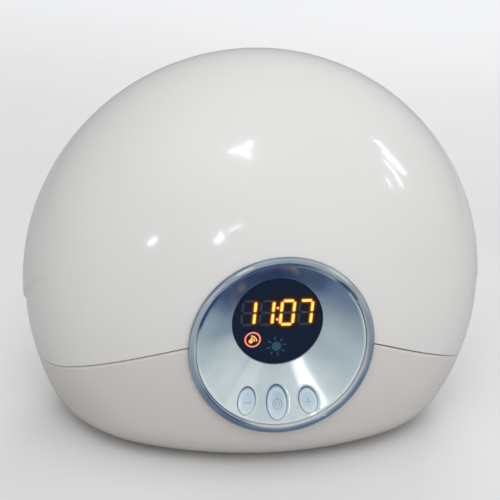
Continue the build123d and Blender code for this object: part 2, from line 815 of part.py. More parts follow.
# ---- led_board with its chips, and the finned heat_sink behind the reflector ----
led_board_front = flat_front + board_thickness
with BuildPart() as led_board:
    with BuildSketch(dome_plane.offset(flat_front)):
        with Locations((0, led_board_rise)):
            Circle(led_board_radius)
        with Locations(*led_screw_points):
            Circle(hole_radius, mode=Mode.SUBTRACT)
    extrude(amount=board_thickness)
led_board.part.label = "led_board"

with BuildPart(dome_plane.offset(led_board_front)) as led_chips:
    with Locations((0, led_board_rise)):
        for radius, count in zip(led_ring_radii, led_ring_counts):
            with PolarLocations(radius, count, start_angle=180 / count):
                Box(led_size, led_size, led_height, align=(Align.CENTER, Align.CENTER, Align.MIN))
led_chips.part.label = "led_chips"

with BuildPart(dome_plane.offset(led_board_front)) as led_board_screws:
    with Locations(*led_screw_points):
        add(small_screw)
led_board_screws.part.label = "led_board_screws"

with BuildPart() as heat_sink:
    with BuildSketch(dome_plane.offset(flat_front - reflector_wall)):
        with Locations((0, led_board_rise)):
            Rectangle(heat_sink_width, heat_sink_height)
        with Locations(*led_screw_points):
            Circle(hole_radius, mode=Mode.SUBTRACT)
    extrude(amount=-heat_sink_base)
    with BuildSketch(dome_plane.offset(flat_front - reflector_wall - heat_sink_base)):
        with Locations((0, led_board_rise)):
            with GridLocations((heat_sink_width - fin_thickness) / (fin_count - 1), 0, fin_count, 1):
                Rectangle(fin_thickness, heat_sink_height)
    extrude(amount=-fin_height)
heat_sink.part.label = "heat_sink"

# ---- main_board on the floor, with its parts ----
with BuildPart() as main_board:
    with BuildSketch(Plane.XY.offset(main_board_height)):
        with Locations((0, board_y)):
            RectangleRounded(main_board_width, main_board_depth, board_corner)
        with Locations(*board_hole_points):
            Circle(hole_radius, mode=Mode.SUBTRACT)
    extrude(amount=board_thickness)
main_board.part.label = "main_board"

with BuildPart(Plane.XY.offset(board_top)) as main_board_screws:
    with Locations(*board_hole_points):
        add(small_screw)
main_board_screws.part.label = "main_board_screws"

first_capacitor = capacitor_inset - main_board_width / 2
with BuildPart(Plane.XY.offset(board_top)) as capacitors:
    with Locations(*[(first_capacitor + step * capacitor_pitch, board_y + capacitor_back) for step in (0, 1)]):
        Cylinder(capacitor_radius, capacitor_height, align=(Align.CENTER, Align.CENTER, Align.MIN))
    fillet(capacitors.edges().group_by(Axis.Z)[-1], capacitor_round)
capacitors.part.label = "capacitors"

choke_point = (choke_inset - main_board_width / 2, board_y - choke_radius)
with BuildPart() as choke:
    with BuildSketch(Plane.XY.offset(board_top)):
        with Locations(choke_point):
            Circle(choke_radius * choke_waist)
    extrude(amount=choke_height)
    for flange_height in (0, choke_height - choke_flange):
        with BuildSketch(Plane.XY.offset(board_top + flange_height)):
            with Locations(choke_point):
                Circle(choke_radius)
        extrude(amount=choke_flange)
choke.part.label = "choke"

cell_point = (main_board_width / 2 - cell_inset, board_y + cell_back)
with BuildPart(Plane.XY.offset(board_top)) as battery_holder:
    with Locations(cell_point):
        Cylinder(cell_radius + cell_holder_wall, cell_holder_height, align=(Align.CENTER, Align.CENTER, Align.MIN))
    with Locations((*cell_point, cell_holder_floor)):
        Cylinder(
            cell_radius + fit_gap,
            cell_holder_height,
            align=(Align.CENTER, Align.CENTER, Align.MIN),
            mode=Mode.SUBTRACT,
        )
battery_holder.part.label = "battery_holder"

with BuildPart(Plane.XY.offset(board_top + cell_holder_floor)) as coin_cell:
    with Locations(cell_point):
        Cylinder(cell_radius, cell_height, align=(Align.CENTER, Align.CENTER, Align.MIN))
    chamfer(coin_cell.edges().group_by(Axis.Z)[-1], fit_gap)
coin_cell.part.label = "coin_cell"

# ---- ribbon_cable from the control board back through the shroud and down to the main board ----
ribbon_start = face_plane.from_local_coords((0, -ribbon_drop, -connector_back))
ribbon_corner_z = ribbon_start.Z - (ribbon_y - ribbon_start.Y) * tan(face_tilt)
with BuildPart() as ribbon_cable:
    with BuildSketch(Plane.YZ):
        with BuildLine():
            FilletPolyline(
                (ribbon_start.Y, ribbon_start.Z),
                (ribbon_y, ribbon_corner_z),
                (ribbon_y, ribbon_end_z),
                radius=ribbon_bend,
            )
        trace(line_width=ribbon_thickness)
    extrude(amount=ribbon_width / 2, both=True)
ribbon_cable.part.label = "ribbon_cable"

with BuildPart() as ribbon_connectors:
    with BuildSketch(face_plane.offset(-connector_back)):
        with Locations((0, -ribbon_drop)):
            Rectangle(connector_width, connector_height)
    extrude(amount=connector_depth)
    with BuildSketch(Plane.XY.offset(board_top)):
        with Locations((0, ribbon_y)):
            Rectangle(connector_width, connector_depth)
    extrude(amount=connector_height)
ribbon_connectors.part.label = "ribbon_connectors"

# ---- rear_board on four posts, with the power_jack and the two set keys ----
with BuildPart() as rear_board:
    with BuildSketch(back_plane.offset(rear_board_back)):
        with Locations((0, -rear_board_drop)):
            RectangleRounded(rear_board_width, rear_board_height, board_corner)
        with Locations(*rear_hole_points):
            Circle(hole_radius, mode=Mode.SUBTRACT)
    extrude(amount=board_thickness)
rear_board.part.label = "rear_board"

with BuildPart(dome_plane.offset(-rear_board_back)) as rear_board_screws:
    with Locations(*rear_hole_points):
        add(small_screw)
rear_board_screws.part.label = "rear_board_screws"


def back_surface(x, y):
    """Distance of the outer back surface behind the widest section."""
    return sqrt(back_cap_radius**2 - x**2 - y**2) - back_cap_front


rear_board_rear = rear_board_back + board_thickness
jack_end = back_surface(0, jack_drop) + jack_proud
with BuildPart() as power_jack:
    with BuildSketch(back_plane.offset(rear_board_rear)):
        with Locations((0, -jack_drop)):
            Rectangle(jack_body_width, jack_body_height)
    extrude(amount=jack_body_depth)
    with BuildSketch(back_plane.offset(rear_board_rear + jack_body_depth)):
        with Locations((0, -jack_drop)):
            Circle(jack_radius)
    extrude(amount=jack_end - rear_board_rear - jack_body_depth)
    with BuildSketch(back_plane.offset(jack_end - jack_bore_depth)):
        with Locations((0, -jack_drop)):
            Circle(jack_bore_radius)
            Circle(jack_pin_radius, mode=Mode.SUBTRACT)
    extrude(amount=jack_bore_depth, mode=Mode.SUBTRACT)
power_jack.part.label = "power_jack"

set_switch_front = rear_board_rear + switch_height
set_plunger_top = set_switch_front + plunger_show
set_key_top = back_surface(set_key_spread / 2, set_key_drop) + set_key_proud
set_flange_top = back_surface(set_key_spread / 2 + set_key_radius, set_key_drop + set_key_radius)
set_flange_top = set_flange_top - shell_wall - fit_gap
set_names = ("clock", "alarm")
for name, point in zip(set_names, set_key_points):
    with BuildPart() as cap:
        with BuildSketch(back_plane.offset(set_plunger_top)):
            with Locations(point):
                Circle(key_stem_radius)
        extrude(amount=set_flange_top - set_plunger_top)
        with BuildSketch(back_plane.offset(set_flange_top - key_flange_height)):
            with Locations(point):
                Circle(set_key_radius + key_flange)
        extrude(amount=key_flange_height)
        with BuildSketch(back_plane.offset(set_flange_top)):
            with Locations(point):
                Circle(set_key_radius)
        extrude(amount=set_key_top - set_flange_top)
        fillet(cap.edges().sort_by(dome_axis)[0], key_round / 2)
    keys[name] = cap.part
    keys[name].label = "button_set_" + name
    plungers[name] = plunger(back_plane, point, -set_plunger_top)
    plungers[name].label = "plunger_set_" + name
rear_switches = switches(back_plane, set_key_points, -set_switch_front, switch_height)
rear_switches.label = "rear_switches"

# ---- speaker behind the grille ----
with BuildPart() as speaker_basket:
    with BuildSketch(speaker_plane.offset(-speaker_depth)):
        Circle(speaker_magnet_radius + fit_gap + panel_skirt_wall)
    with BuildSketch(speaker_plane.offset(-2 * speaker_rim_height)):
        Circle(speaker_radius)
    loft()
    with BuildSketch(speaker_plane.offset(-2 * speaker_rim_height)):
        Circle(speaker_radius)
    extrude(amount=speaker_rim_height)
    with BuildSketch(speaker_plane.offset(-speaker_depth)):
        Circle(speaker_magnet_radius + fit_gap)
    with BuildSketch(speaker_plane.offset(-speaker_rim_height)):
        Circle(speaker_radius - speaker_rim_height)
    loft(mode=Mode.SUBTRACT)
speaker_basket.part.label = "speaker_basket"

with BuildPart() as speaker_magnet:
    with BuildSketch(speaker_plane.offset(-speaker_depth - speaker_cone_depth)):
        Circle(speaker_magnet_radius)
    extrude(amount=2 * speaker_cone_depth)
speaker_magnet.part.label = "speaker_magnet"

cone_back = speaker_depth - speaker_cone_depth
with BuildPart() as speaker_cone:
    with BuildSketch(speaker_plane.offset(-cone_back)):
        Circle(speaker_magnet_radius)
    with BuildSketch(speaker_plane.offset(-speaker_rim_height)):
        Circle(speaker_radius - speaker_rim_height - fit_gap)
    loft()
    with BuildSketch(speaker_plane.offset(-cone_back + fit_gap * 2)):
        Circle(speaker_magnet_radius / 2)
    with BuildSketch(speaker_plane.offset(-speaker_rim_height)):
        Circle(speaker_radius - 2 * speaker_rim_height)
    loft(mode=Mode.SUBTRACT)
speaker_cone.part.label = "speaker_cone"

# ---- housing screws and rubber feet ----
housing_screw = screw(housing_screw_length)
with BuildPart(back_plane.offset(parting_back + seam_gap + housing_screw_grip)) as housing_screws:
    with Locations(*rim_points(-1)):
        add(housing_screw)
housing_screws.part.label = "housing_screws"

with BuildPart() as rubber_feet:
    with Locations(*foot_points):
        Cylinder(foot_radius, foot_stand + foot_recess, align=(Align.CENTER, Align.CENTER, Align.MIN))
    chamfer(rubber_feet.edges().group_by(Axis.Z)[0], foot_stand / 3)
rubber_feet.part.label = "rubber_feet"

builders = (
    diffuser_dome,
    base_shell,
    rear_housing,
    bezel_ring,
    control_panel,
    display_window,
    display_module,
    control_board,
    control_board_screws,
    control_shroud,
    light_partition,
    partition_screws,
    reflector_panel,
    reflector_screws,
    led_board,
    led_chips,
    led_board_screws,
    heat_sink,
    main_board,
    main_board_screws,
    capacitors,
    choke,
    battery_holder,
    coin_cell,
    ribbon_cable,
    ribbon_connectors,
    rear_board,
    rear_board_screws,
    power_jack,
    speaker_basket,
    speaker_magnet,
    speaker_cone,
    housing_screws,
    rubber_feet,
)
pieces = [builder.part for builder in builders]
pieces += [lit_segments, unlit_segments, tact_switches, rear_switches]
pieces += list(keys.values()) + list(plungers.values())
os.makedirs("parts", exist_ok=True)
for piece in pieces:
    export_step(piece, "parts/" + piece.label + ".step")
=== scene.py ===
import json
import math
import bmesh
import bpy
import numpy as np
from mathutils import Matrix, Vector


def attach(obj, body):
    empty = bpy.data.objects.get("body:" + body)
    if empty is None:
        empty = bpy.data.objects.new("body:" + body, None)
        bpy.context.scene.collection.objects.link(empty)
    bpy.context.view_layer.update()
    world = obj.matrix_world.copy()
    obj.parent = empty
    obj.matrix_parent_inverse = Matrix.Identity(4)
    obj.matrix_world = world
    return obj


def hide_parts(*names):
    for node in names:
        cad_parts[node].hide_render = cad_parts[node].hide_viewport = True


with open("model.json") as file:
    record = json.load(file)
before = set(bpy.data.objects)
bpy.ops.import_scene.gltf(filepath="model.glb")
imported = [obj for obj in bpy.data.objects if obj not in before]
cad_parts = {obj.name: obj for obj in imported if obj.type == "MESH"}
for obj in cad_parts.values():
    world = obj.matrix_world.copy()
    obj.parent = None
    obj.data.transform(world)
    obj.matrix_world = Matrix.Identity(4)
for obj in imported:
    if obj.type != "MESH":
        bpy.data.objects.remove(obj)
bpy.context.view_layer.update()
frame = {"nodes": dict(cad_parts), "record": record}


nodes = frame["nodes"]
mm = 0.001
bodyName = "lamp"
sharpAngle = math.radians(35.0)
fullTurn = 2 * math.pi

# Sizes of the body, in millimetres, the same as the solids have.
bodyForm = {
    "halfWidth": 100.0, "axisUp": 60.2, "frontReach": 68.0, "backReach": 52.0,
    "lean": math.radians(5.5), "frontRim": 56.0, "backRim": 40.0,
    "edgeRound": 22.0, "floorUp": 1.2, "wall": 2.5,
    "seamRadius": 63.2, "seamForward": 12.9, "seamLow": 33.6, "seamGap": 0.4,
    "backRimUp": 62.0, "partBack": 8.0,
}
faceForm = {
    "drop": 7.1, "lean": math.radians(4.2), "ringRadius": 36.6, "ringWidth": 2.9, "proud": 1.8,
    "crown": 1.1, "lip": 1.3, "ringDepth": 9.6, "ledge": 0.9, "ledgeHeight": 1.4, "gap": 0.2, "panelGap": 0.2,
    "panelDrop": 1.0, "panelRim": 0.3, "dishDepth": 10.05, "panelWall": 1.5, "skirtWall": 1.3,
    "skirtStep": 2.2, "skirtEnd": -8.2, "apertureRadius": 18.3, "apertureUp": 6.0, "apertureBorder": 2.0,
}


def capRadius(reach, rim):
    # Radius of the spherical cap that meets a rolled edge of radius rim and reaches this far ahead of the
    # axis: (side squared + reach squared - rim squared) over twice (reach - rim)
    side = bodyForm["halfWidth"] - rim
    return (side ** 2 + reach ** 2 - rim ** 2) / (2 * (reach - rim))


def workOutForm():
    # Everything that follows from the sizes: the caps' centres, the frames of body and face, and the seam
    f, g = bodyForm, faceForm
    f["frontCap"] = capRadius(f["frontReach"], f["frontRim"])
    f["backCap"] = capRadius(f["backReach"], f["backRim"])
    f["frontCapBack"] = f["frontCap"] - f["frontReach"]
    f["backCapFront"] = f["backCap"] - f["backReach"]
    f["frontSide"] = f["halfWidth"] - f["frontRim"]
    f["backSide"] = f["halfWidth"] - f["backRim"]
    c, s = math.cos(f["lean"]), math.sin(f["lean"])
    faceAngle = f["lean"] - math.asin(g["drop"] / f["frontCap"])
    distance = math.sqrt(f["frontCap"] ** 2 - g["ringRadius"] ** 2) + g["proud"]
    ringFront = distance * math.cos(faceAngle) - f["frontCapBack"] * c
    ringFront = ringFront + g["ringRadius"] * math.sin(g["lean"]) + g["crown"]
    front = max(f["frontCap"] - f["frontCapBack"] * c, ringFront)
    back = f["backCap"] - f["backCapFront"] * c
    f["centre"] = np.array([0.0, (front - back) / 2, f["axisUp"]])
    f["forward"] = np.array([0.0, -c, s])
    f["up"] = np.array([0.0, s, c])
    toFace = np.array([0.0, -math.cos(faceAngle), math.sin(faceAngle)])
    g["centre"] = f["centre"] - f["forward"] * f["frontCapBack"] + toFace * distance
    g["forward"] = np.array([0.0, -math.cos(g["lean"]), math.sin(g["lean"])])
    g["up"] = np.array([0.0, math.sin(g["lean"]), math.cos(g["lean"])])
    f["seamY"] = f["centre"][1] - f["seamForward"]
    f["seamZ"] = f["seamLow"] + f["seamRadius"]
    g["hole"] = g["ringRadius"] - g["lip"] + g["gap"]
    g["rim"] = g["ringRadius"] - g["ringWidth"] - g["panelGap"]
    g["mouth"] = g["rim"] - g["panelRim"] - g["panelWall"] / 2


workOutForm()
sideways = np.array([1.0, 0.0, 0.0])


def onFace(u, v, w):
    # A point of the ring's own frame: centre + u sideways + v up the face + w out of it
    u, v, w = np.broadcast_arrays(np.asarray(u, float), v, w)
    g = faceForm
    return g["centre"] + u[..., None] * sideways + v[..., None] * g["up"] + w[..., None] * g["forward"]


def domeArc(points):
    # Distance outside the body and the normal there. A point's cut through the axis shows four arcs, and the
    # distance is how far it lies from its own arc's centre, less that arc's radius.
    f = bodyForm
    d = points - f["centre"]
    along = d @ f["forward"]
    across = np.stack([d[..., 0], d @ f["up"]], -1)
    radius = np.linalg.norm(across, axis=-1)
    front = along >= 0
    cap = np.where(
        front,
        f["frontSide"] * (along + f["frontCapBack"]) - f["frontCapBack"] * radius > 0,
        f["backSide"] * (f["backCapFront"] - along) - f["backCapFront"] * radius > 0,
    )
    arcSide = np.where(cap, 0.0, np.where(front, f["frontSide"], f["backSide"]))
    arcAlong = np.where(cap, np.where(front, -f["frontCapBack"], f["backCapFront"]), 0.0)
    capSize = np.where(front, f["frontCap"], f["backCap"])
    rimSize = np.where(front, f["frontRim"], f["backRim"])
    side = radius - arcSide
    ahead = along - arcAlong
    length = np.hypot(side, ahead)
    ring = across / np.maximum(radius, 1e-9)[..., None]
    normal = (
        (side / length * ring[..., 0])[..., None] * sideways
        + (side / length * ring[..., 1])[..., None] * f["up"]
        + (ahead / length)[..., None] * f["forward"]
    )
    return length - np.where(cap, capSize, rimSize), normal


def ontoDome(points):
    # The nearest point of the body's surface, point - distance * normal, and the normal there
    distance, normal = domeArc(points)
    return points - distance[..., None] * normal, normal


def bisect(func, low, high):
    # Where func, given as arrays, goes from negative at low to positive at high: the interval is halved again
    # and again, and the half that holds the change of sign is kept
    low, high, halvings = np.array(low, float), np.array(high, float), 46
    for _ in range(halvings):
        middle = (low + high) / 2
        under = func(middle) < 0
        low = np.where(under, middle, low)
        high = np.where(under, high, middle)
    return (low + high) / 2


def seamHeight(y, inset=0.0):
    # Height of the seam at a distance from front to back: an arc, then level over the base's back wall
    f = bodyForm
    radius = f["seamRadius"] - inset
    arc = f["seamZ"] - np.sqrt(np.maximum(radius ** 2 - (y - f["seamY"]) ** 2, 0))
    rim = f["backRimUp"] + inset
    return np.where((y > f["seamY"]) & ((arc > rim) | (y - f["seamY"] > radius)), rim, arc)


def smooth(x, low, high):
    # Zero up to low, one from high on, and 3t squared - 2t cubed between them
    t = np.clip((x - low) / (high - low), 0, 1)
    return t * t * (3 - 2 * t)


def profileArcs():
    # Angle of the front cap, angle of the back rolled edge, and the length of each of the four arcs
    f = bodyForm
    a1 = math.atan2(f["frontSide"], f["frontCapBack"])
    b2 = math.atan2(f["backCapFront"], f["backSide"])
    angles = (a1, math.pi / 2 - a1, b2, math.pi / 2 - b2)
    radii = (f["frontCap"], f["frontRim"], f["backRim"], f["backCap"])
    return a1, b2, [radius * angle for radius, angle in zip(radii, angles)]


def profilePoint(s, turn):
    # Point, tangent and normal of the body at arc length s from the front pole, on the meridian at turn. Four
    # arcs follow each other: front cap, front rolled edge, back rolled edge, back cap.
    f = bodyForm
    a1, b2, lengths = profileArcs()
    ends = np.cumsum(lengths[:3])
    s, turn = np.broadcast_arrays(np.asarray(s, float), turn)
    part = np.searchsorted(ends, s)
    radius = np.choose(part, [f["frontCap"], f["frontRim"], f["backRim"], f["backCap"]])
    side = np.choose(part, [0.0, f["frontSide"], f["backSide"], 0.0])
    ahead = np.choose(part, [-f["frontCapBack"], 0.0, 0.0, f["backCapFront"]])
    start = np.choose(part, [0.0, ends[0], ends[1], ends[2]])
    first = np.choose(part, [0.0, a1, math.pi / 2, math.pi / 2 + b2])
    angle = first + (s - start) / radius
    ring = np.cos(turn)[..., None] * sideways + np.sin(turn)[..., None] * f["up"]
    out, ahd = np.sin(angle)[..., None], np.cos(angle)[..., None]
    point = f["centre"] + (side[..., None] + radius[..., None] * out) * ring
    point = point + (ahead[..., None] + radius[..., None] * ahd) * f["forward"]
    return point, ahd * ring - out * f["forward"], out * ring + ahd * f["forward"]


def measureProfile():
    # Arc length from pole to pole; both sides of the parting line lie past the widest point by
    # radius * arcsine(distance / radius)
    f = bodyForm
    lengths = profileArcs()[2]
    widest, rim = lengths[0] + lengths[1], f["backRim"]
    f["parting"] = widest + rim * math.asin(f["partBack"] / rim)
    f["partingGap"] = widest + rim * math.asin((f["partBack"] + f["seamGap"]) / rim)
    return sum(lengths)


profileLength = measureProfile()
print("form worked out: profile %.1f mm long" % profileLength)


# Meshes

def meshOf(name, points, faces):
    # A mesh from arrays in millimetres
    mesh = bpy.data.meshes.new(name)
    mesh.from_pydata((np.asarray(points) * mm).tolist(), [], np.asarray(faces).tolist())
    return mesh


def linked(name, data):
    # The data's own object, in the scene
    thing = bpy.data.objects.new(name, data)
    bpy.context.scene.collection.objects.link(thing)
    return thing


def shadeSmooth(mesh):
    # Every face blends into its neighbours
    mesh.polygons.foreach_set("use_smooth", np.ones(len(mesh.polygons), bool))


def addMesh(name, points, faces, keepWinding=False):
    # Doubles at poles are merged, and a closed shape faces outwards: it is turned if its volume is negative
    mesh, doubles = meshOf(name, points, faces), 1e-6
    work = bmesh.new()
    work.from_mesh(mesh)
    bmesh.ops.remove_doubles(work, verts=work.verts, dist=doubles)
    bmesh.ops.dissolve_degenerate(work, edges=work.edges, dist=doubles)
    if not keepWinding and work.calc_volume(signed=True) < 0:
        bmesh.ops.reverse_faces(work, faces=work.faces)
    work.to_mesh(mesh)
    work.free()
    shadeSmooth(mesh)
    mesh.set_sharp_from_angle(angle=sharpAngle)
    return linked(name, mesh)


def gridFaces(rows, columns, loopRows, loopColumns):
    # Quads of a grid of rows by columns; a loop joins the last row or column to the first
    r = np.arange(rows if loopRows else rows - 1)
    c = np.arange(columns if loopColumns else columns - 1)
    r, c = np.meshgrid(r, c, indexing="ij")
    row, nextRow, nextColumn = r * columns, (r + 1) % rows * columns, (c + 1) % columns
    return np.stack([row + c, row + nextColumn, nextRow + nextColumn, nextRow + c], -1).reshape(-1, 4)


def joinGrids(grids, loopRows=False):
    # Points and quads of several grids in one: each grid's quads count on from the points before it
    starts = np.cumsum([0] + [grid.shape[0] * grid.shape[1] for grid in grids])
    faces = [gridFaces(*grid.shape[:2], loopRows, True) + start for grid, start in zip(grids, starts)]
    return np.concatenate([grid.reshape(-1, 3) for grid in grids]), np.concatenate(faces)


def addGrid(name, grid, loopRows=False, loopColumns=False, keepWinding=False):
    # One grid of points as a mesh
    faces = gridFaces(*grid.shape[:2], loopRows, loopColumns)
    return addMesh(name, grid.reshape(-1, 3), faces, keepWinding)


def place(piece, material, slot, *replaced, body=bodyName):
    # The piece gets its material, rides on its body and stands for its solids; its slot is not used
    piece.data.materials.clear()
    piece.data.materials.append(material)
    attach(piece, body)
    if replaced:
        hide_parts(*replaced)
    return piece


def edgeRows(edge, tangent, normal, wall, roundOut, roundIn, steps=5):
    # Rows that turn over a wall's edge: a quarter round, the flat edge, and a smaller quarter round, each its
    # centre + radius * (sine * tangent + cosine * normal)
    turn = np.linspace(0, math.pi / 2, steps)[:, None, None]
    out, inn = np.asarray(roundOut)[..., None], np.asarray(roundIn)[..., None]
    first = edge - out * tangent - out * normal
    second = edge - inn * tangent - (wall - inn) * normal
    first = first + out * (np.sin(turn) * tangent + np.cos(turn) * normal)
    second = second + inn * (np.cos(turn) * tangent - np.sin(turn) * normal)
    return np.concatenate([first, second])


# Materials. Everything reads Object coordinates or a piece's own attribute.

def newMaterial(name):
    # An empty material with its shader
    material = bpy.data.materials.new(name)
    material.use_nodes = True
    return material, material.node_tree, material.node_tree.nodes["Principled BSDF"]


def setOn(node, **settings):
    # The node's inputs or own settings get the given values
    for key, value in settings.items():
        if key in node.inputs:
            node.inputs[key].default_value = value
        else:
            setattr(node, key, value)
    return node


def addNode(tree, kind, **settings):
    # A node with the given values
    return setOn(tree.nodes.new(kind), **settings)


def wire(tree, *pairs):
    # Links, each from an output to an input
    for source, target in pairs:
        tree.links.new(source, target)


def noiseOf(tree, scale, detail=3.0):
    # Noise on Object coordinates, scale times finer than a metre
    where = addNode(tree, "ShaderNodeTexCoord")
    noise = addNode(tree, "ShaderNodeTexNoise", Scale=scale, Detail=detail, Roughness=0.55)  # of its octaves
    tree.links.new(where.outputs["Object"], noise.inputs["Vector"])
    return noise.outputs["Fac"]


def rampOf(tree, source, stops):
    # Colour by the source's value, blended between stops of (value, colour)
    ramp = addNode(tree, "ShaderNodeValToRGB")
    elements = ramp.color_ramp.elements
    while len(elements) < len(stops):
        elements.new(0.5)
    for element, (position, colour) in zip(elements, stops):
        element.position = position
        element.color = (*colour, 1.0)
    tree.links.new(source, ramp.inputs["Fac"])
    return ramp.outputs["Color"]


def rangeOf(tree, source, low, high):
    # The noise's usual span, 0.3 to 0.7, stretched to low to high
    spans = {"From Min": 0.3, "From Max": 0.7, "To Min": low, "To Max": high}
    node = addNode(tree, "ShaderNodeMapRange", **spans)
    tree.links.new(source, node.inputs["Value"])
    return node.outputs["Result"]


def bumpOf(tree, shader, source, strength, distance):
    # Fine relief from the source
    node = addNode(tree, "ShaderNodeBump", Strength=strength, Distance=distance)
    wire(tree, (source, node.inputs["Height"]), (node.outputs["Normal"], shader.inputs["Normal"]))


def plainFinish(name, colour, spread, grain, rough, metallic=0.0, coat=0.0, bumpGrain=900.0,
                bumpDepth=0.00002, transmission=0.0, ior=1.49):
    # A moulded or metal surface: slow colour drift, uneven gloss and a fine skin
    material, tree, shader = newMaterial(name)
    darker = tuple(c * (1 - spread) for c in colour)
    lighter = tuple(min(1.0, c * (1 + spread)) for c in colour)
    drift = rampOf(tree, noiseOf(tree, grain), [(0.3, darker), (0.7, lighter)])
    gloss = rangeOf(tree, noiseOf(tree, grain * 3.1), *rough)  # finer than the drift
    wire(tree, (drift, shader.inputs["Base Color"]), (gloss, shader.inputs["Roughness"]))
    if bumpDepth:
        bumpOf(tree, shader, noiseOf(tree, bumpGrain, detail=2.0), strength=0.5, distance=bumpDepth)
    setOn(shader, **{"Metallic": metallic, "Coat Weight": coat, "Coat Roughness": 0.05,
                     "Transmission Weight": transmission, "IOR": ior})
    return material


# Shells

shellLook = {
    "diffuser": (0.755, 0.745, 0.73), "base": (0.68, 0.646, 0.612), "housing": (0.69, 0.67, 0.64),
    "seamRound": 0.25, "innerRound": 0.25, "lipRound": 1.0, "innerLipRound": 0.2,
    "sideTo": math.radians(18), "sideColumns": 130, "backColumns": 60, "topColumns": 150, "innerRows": 9,
}
diffuserPlastic = plainFinish(
    "milkyAcrylic", shellLook["diffuser"], 0.015, 14.0, (0.10, 0.16), coat=0.5,
    bumpDepth=0.000006, bumpGrain=260.0,
)
basePlastic = plainFinish(
    "warmAbs", shellLook["base"], 0.02, 14.0, (0.14, 0.22), coat=0.35, bumpDepth=0.000006, bumpGrain=260.0,
)
housingPlastic = plainFinish(
    "housingAbs", shellLook["housing"], 0.02, 18.0, (0.28, 0.38), bumpDepth=0.000015, bumpGrain=1200.0,
)

# The crease at the sides: its height at one place behind the axis, its fall per millimetre and where it fades
crease = {
    "depth": 1.2, "width": 0.7, "up": 59.3, "at": -8.2, "fall": 0.75, "frontReach": 40, "grow": 1.5,
    "backFade": (6, 34), "lowFade": (12, 34),
}


def creased(points, normal):
    # The body steps in under a line that falls towards the back of each side; the step fades forwards
    behind = points[..., 1] - bodyForm["centre"][1]
    under = (crease["up"] - crease["fall"] * (behind - crease["at"])) - points[..., 2]
    depth = np.clip((behind + crease["frontReach"]) / crease["frontReach"], 0, 1) ** crease["grow"]
    depth = depth * (1 - smooth(behind, *crease["backFade"]))
    depth = depth * smooth(under, 0, crease["width"]) * smooth(points[..., 2], *crease["lowFade"])
    return points - (crease["depth"] * depth)[..., None] * normal


def aboveSeam(points):
    # How far a point lies over the gap that the seam leaves
    return points[..., 2] - seamHeight(points[..., 1], bodyForm["seamGap"])


def outsideHole(points):
    # How far a point lies outside the round hole of the face
    d = points - faceForm["centre"]
    return np.hypot(d[..., 0], d @ faceForm["up"]) - faceForm["hole"]


def meridianCut(turn, func, low, high, last=True):
    # Arc length where func(point) changes sign on each meridian, between low and high: a straight line
    # between the two samples around the change gives the place
    samples = 900
    s = np.linspace(low, high, samples)[:, None]
    value = func(profilePoint(s, turn[None, :])[0])
    sign = value > 0
    change = sign[1:] != sign[:-1]
    index = np.where(change.any(0), samples - 2 - change[::-1].argmax(0) if last else change.argmax(0), 0)
    cols = np.arange(len(turn))
    v0, v1 = value[index, cols], value[index + 1, cols]
    step = (high - low) / (samples - 1)
    found = low + (index + v0 / (v0 - v1 + 1e-12)) * step
    return np.where(change.any(0), found, np.where(sign[0], low, high))


def shellGrid(turn, start, end, rows):
    # A wall between two arc lengths on each meridian, with rounded edges, as a loop of rows: the outside, one
    # edge, the inside at a wall's depth along the normal, and the other edge
    wall, inner = bodyForm["wall"], shellLook["innerRound"]
    length = end - start
    soft = np.minimum(shellLook["seamRound"], 0.3 * length)
    share = np.asarray(rows)[:, None]
    outer, _, normal = profilePoint((start + soft) + share * (length - soft - soft), turn[None, :])
    edge1, tangent1, normal1 = profilePoint(end, turn)
    edge0, tangent0, normal0 = profilePoint(start, turn)
    share = np.linspace(1, 0, shellLook["innerRows"])[1:-1, None]
    inside, _, insideNormal = profilePoint(start + share * length, turn[None, :])
    last = edgeRows(creased(edge1, normal1), tangent1, normal1, wall, soft, np.minimum(soft, inner))
    first = edgeRows(creased(edge0, normal0), -tangent0, normal0, wall, soft, np.minimum(soft, inner))
    return np.concatenate([creased(outer, normal)[1:-1], last, inside - wall * insideNormal, first[::-1]])


def cornerTurn(arcLength):
    # The meridian on which the seam meets the parting line
    return float(bisect(lambda t: aboveSeam(profilePoint(arcLength, t)[0]), -0.5, 0.1))


def overTheTop(near):
    # Meridians from one side over the top to the other side
    top = np.linspace(shellLook["sideTo"], math.pi - shellLook["sideTo"], shellLook["topColumns"])[1:-1]
    return np.concatenate([near, top, (math.pi - near)[::-1]])


def makeDiffuser():
    # Each meridian runs from the round hole or the seam to the parting line or the seam behind it
    parting, holeFrom, seamFrom = bodyForm["parting"], (20.0, 60.0), 30.0
    corner = cornerTurn(parting)
    along = np.linspace(holeFrom[1], parting, 2000)
    lowest = float(bisect(lambda t: aboveSeam(profilePoint(along, t)[0]).max(), corner - 0.2, corner))
    bottom = lowest + (corner - lowest) * np.linspace(0.01, 1, 26) ** 2
    side = np.linspace(corner, shellLook["sideTo"], shellLook["sideColumns"])
    turn = overTheTop(np.concatenate([bottom[:-1], side]))
    fromHole = meridianCut(turn, outsideHole, *holeFrom)
    fromSeam = meridianCut(turn, aboveSeam, seamFrom, parting, last=False)
    low = profilePoint(np.full_like(turn, seamFrom), turn)[0]
    start = np.maximum(fromHole, np.where(aboveSeam(low) > 0, 0.0, fromSeam))
    past = aboveSeam(profilePoint(parting, turn)[0]) < 0
    end = np.where(past, meridianCut(turn, aboveSeam, seamFrom, parting), parting)
    rows = np.concatenate([np.linspace(0, 0.4, 40)[:-1], np.linspace(0.4, 1, 96)])
    return addGrid("diffuserDome", shellGrid(turn, start, end, rows), loopRows=True)


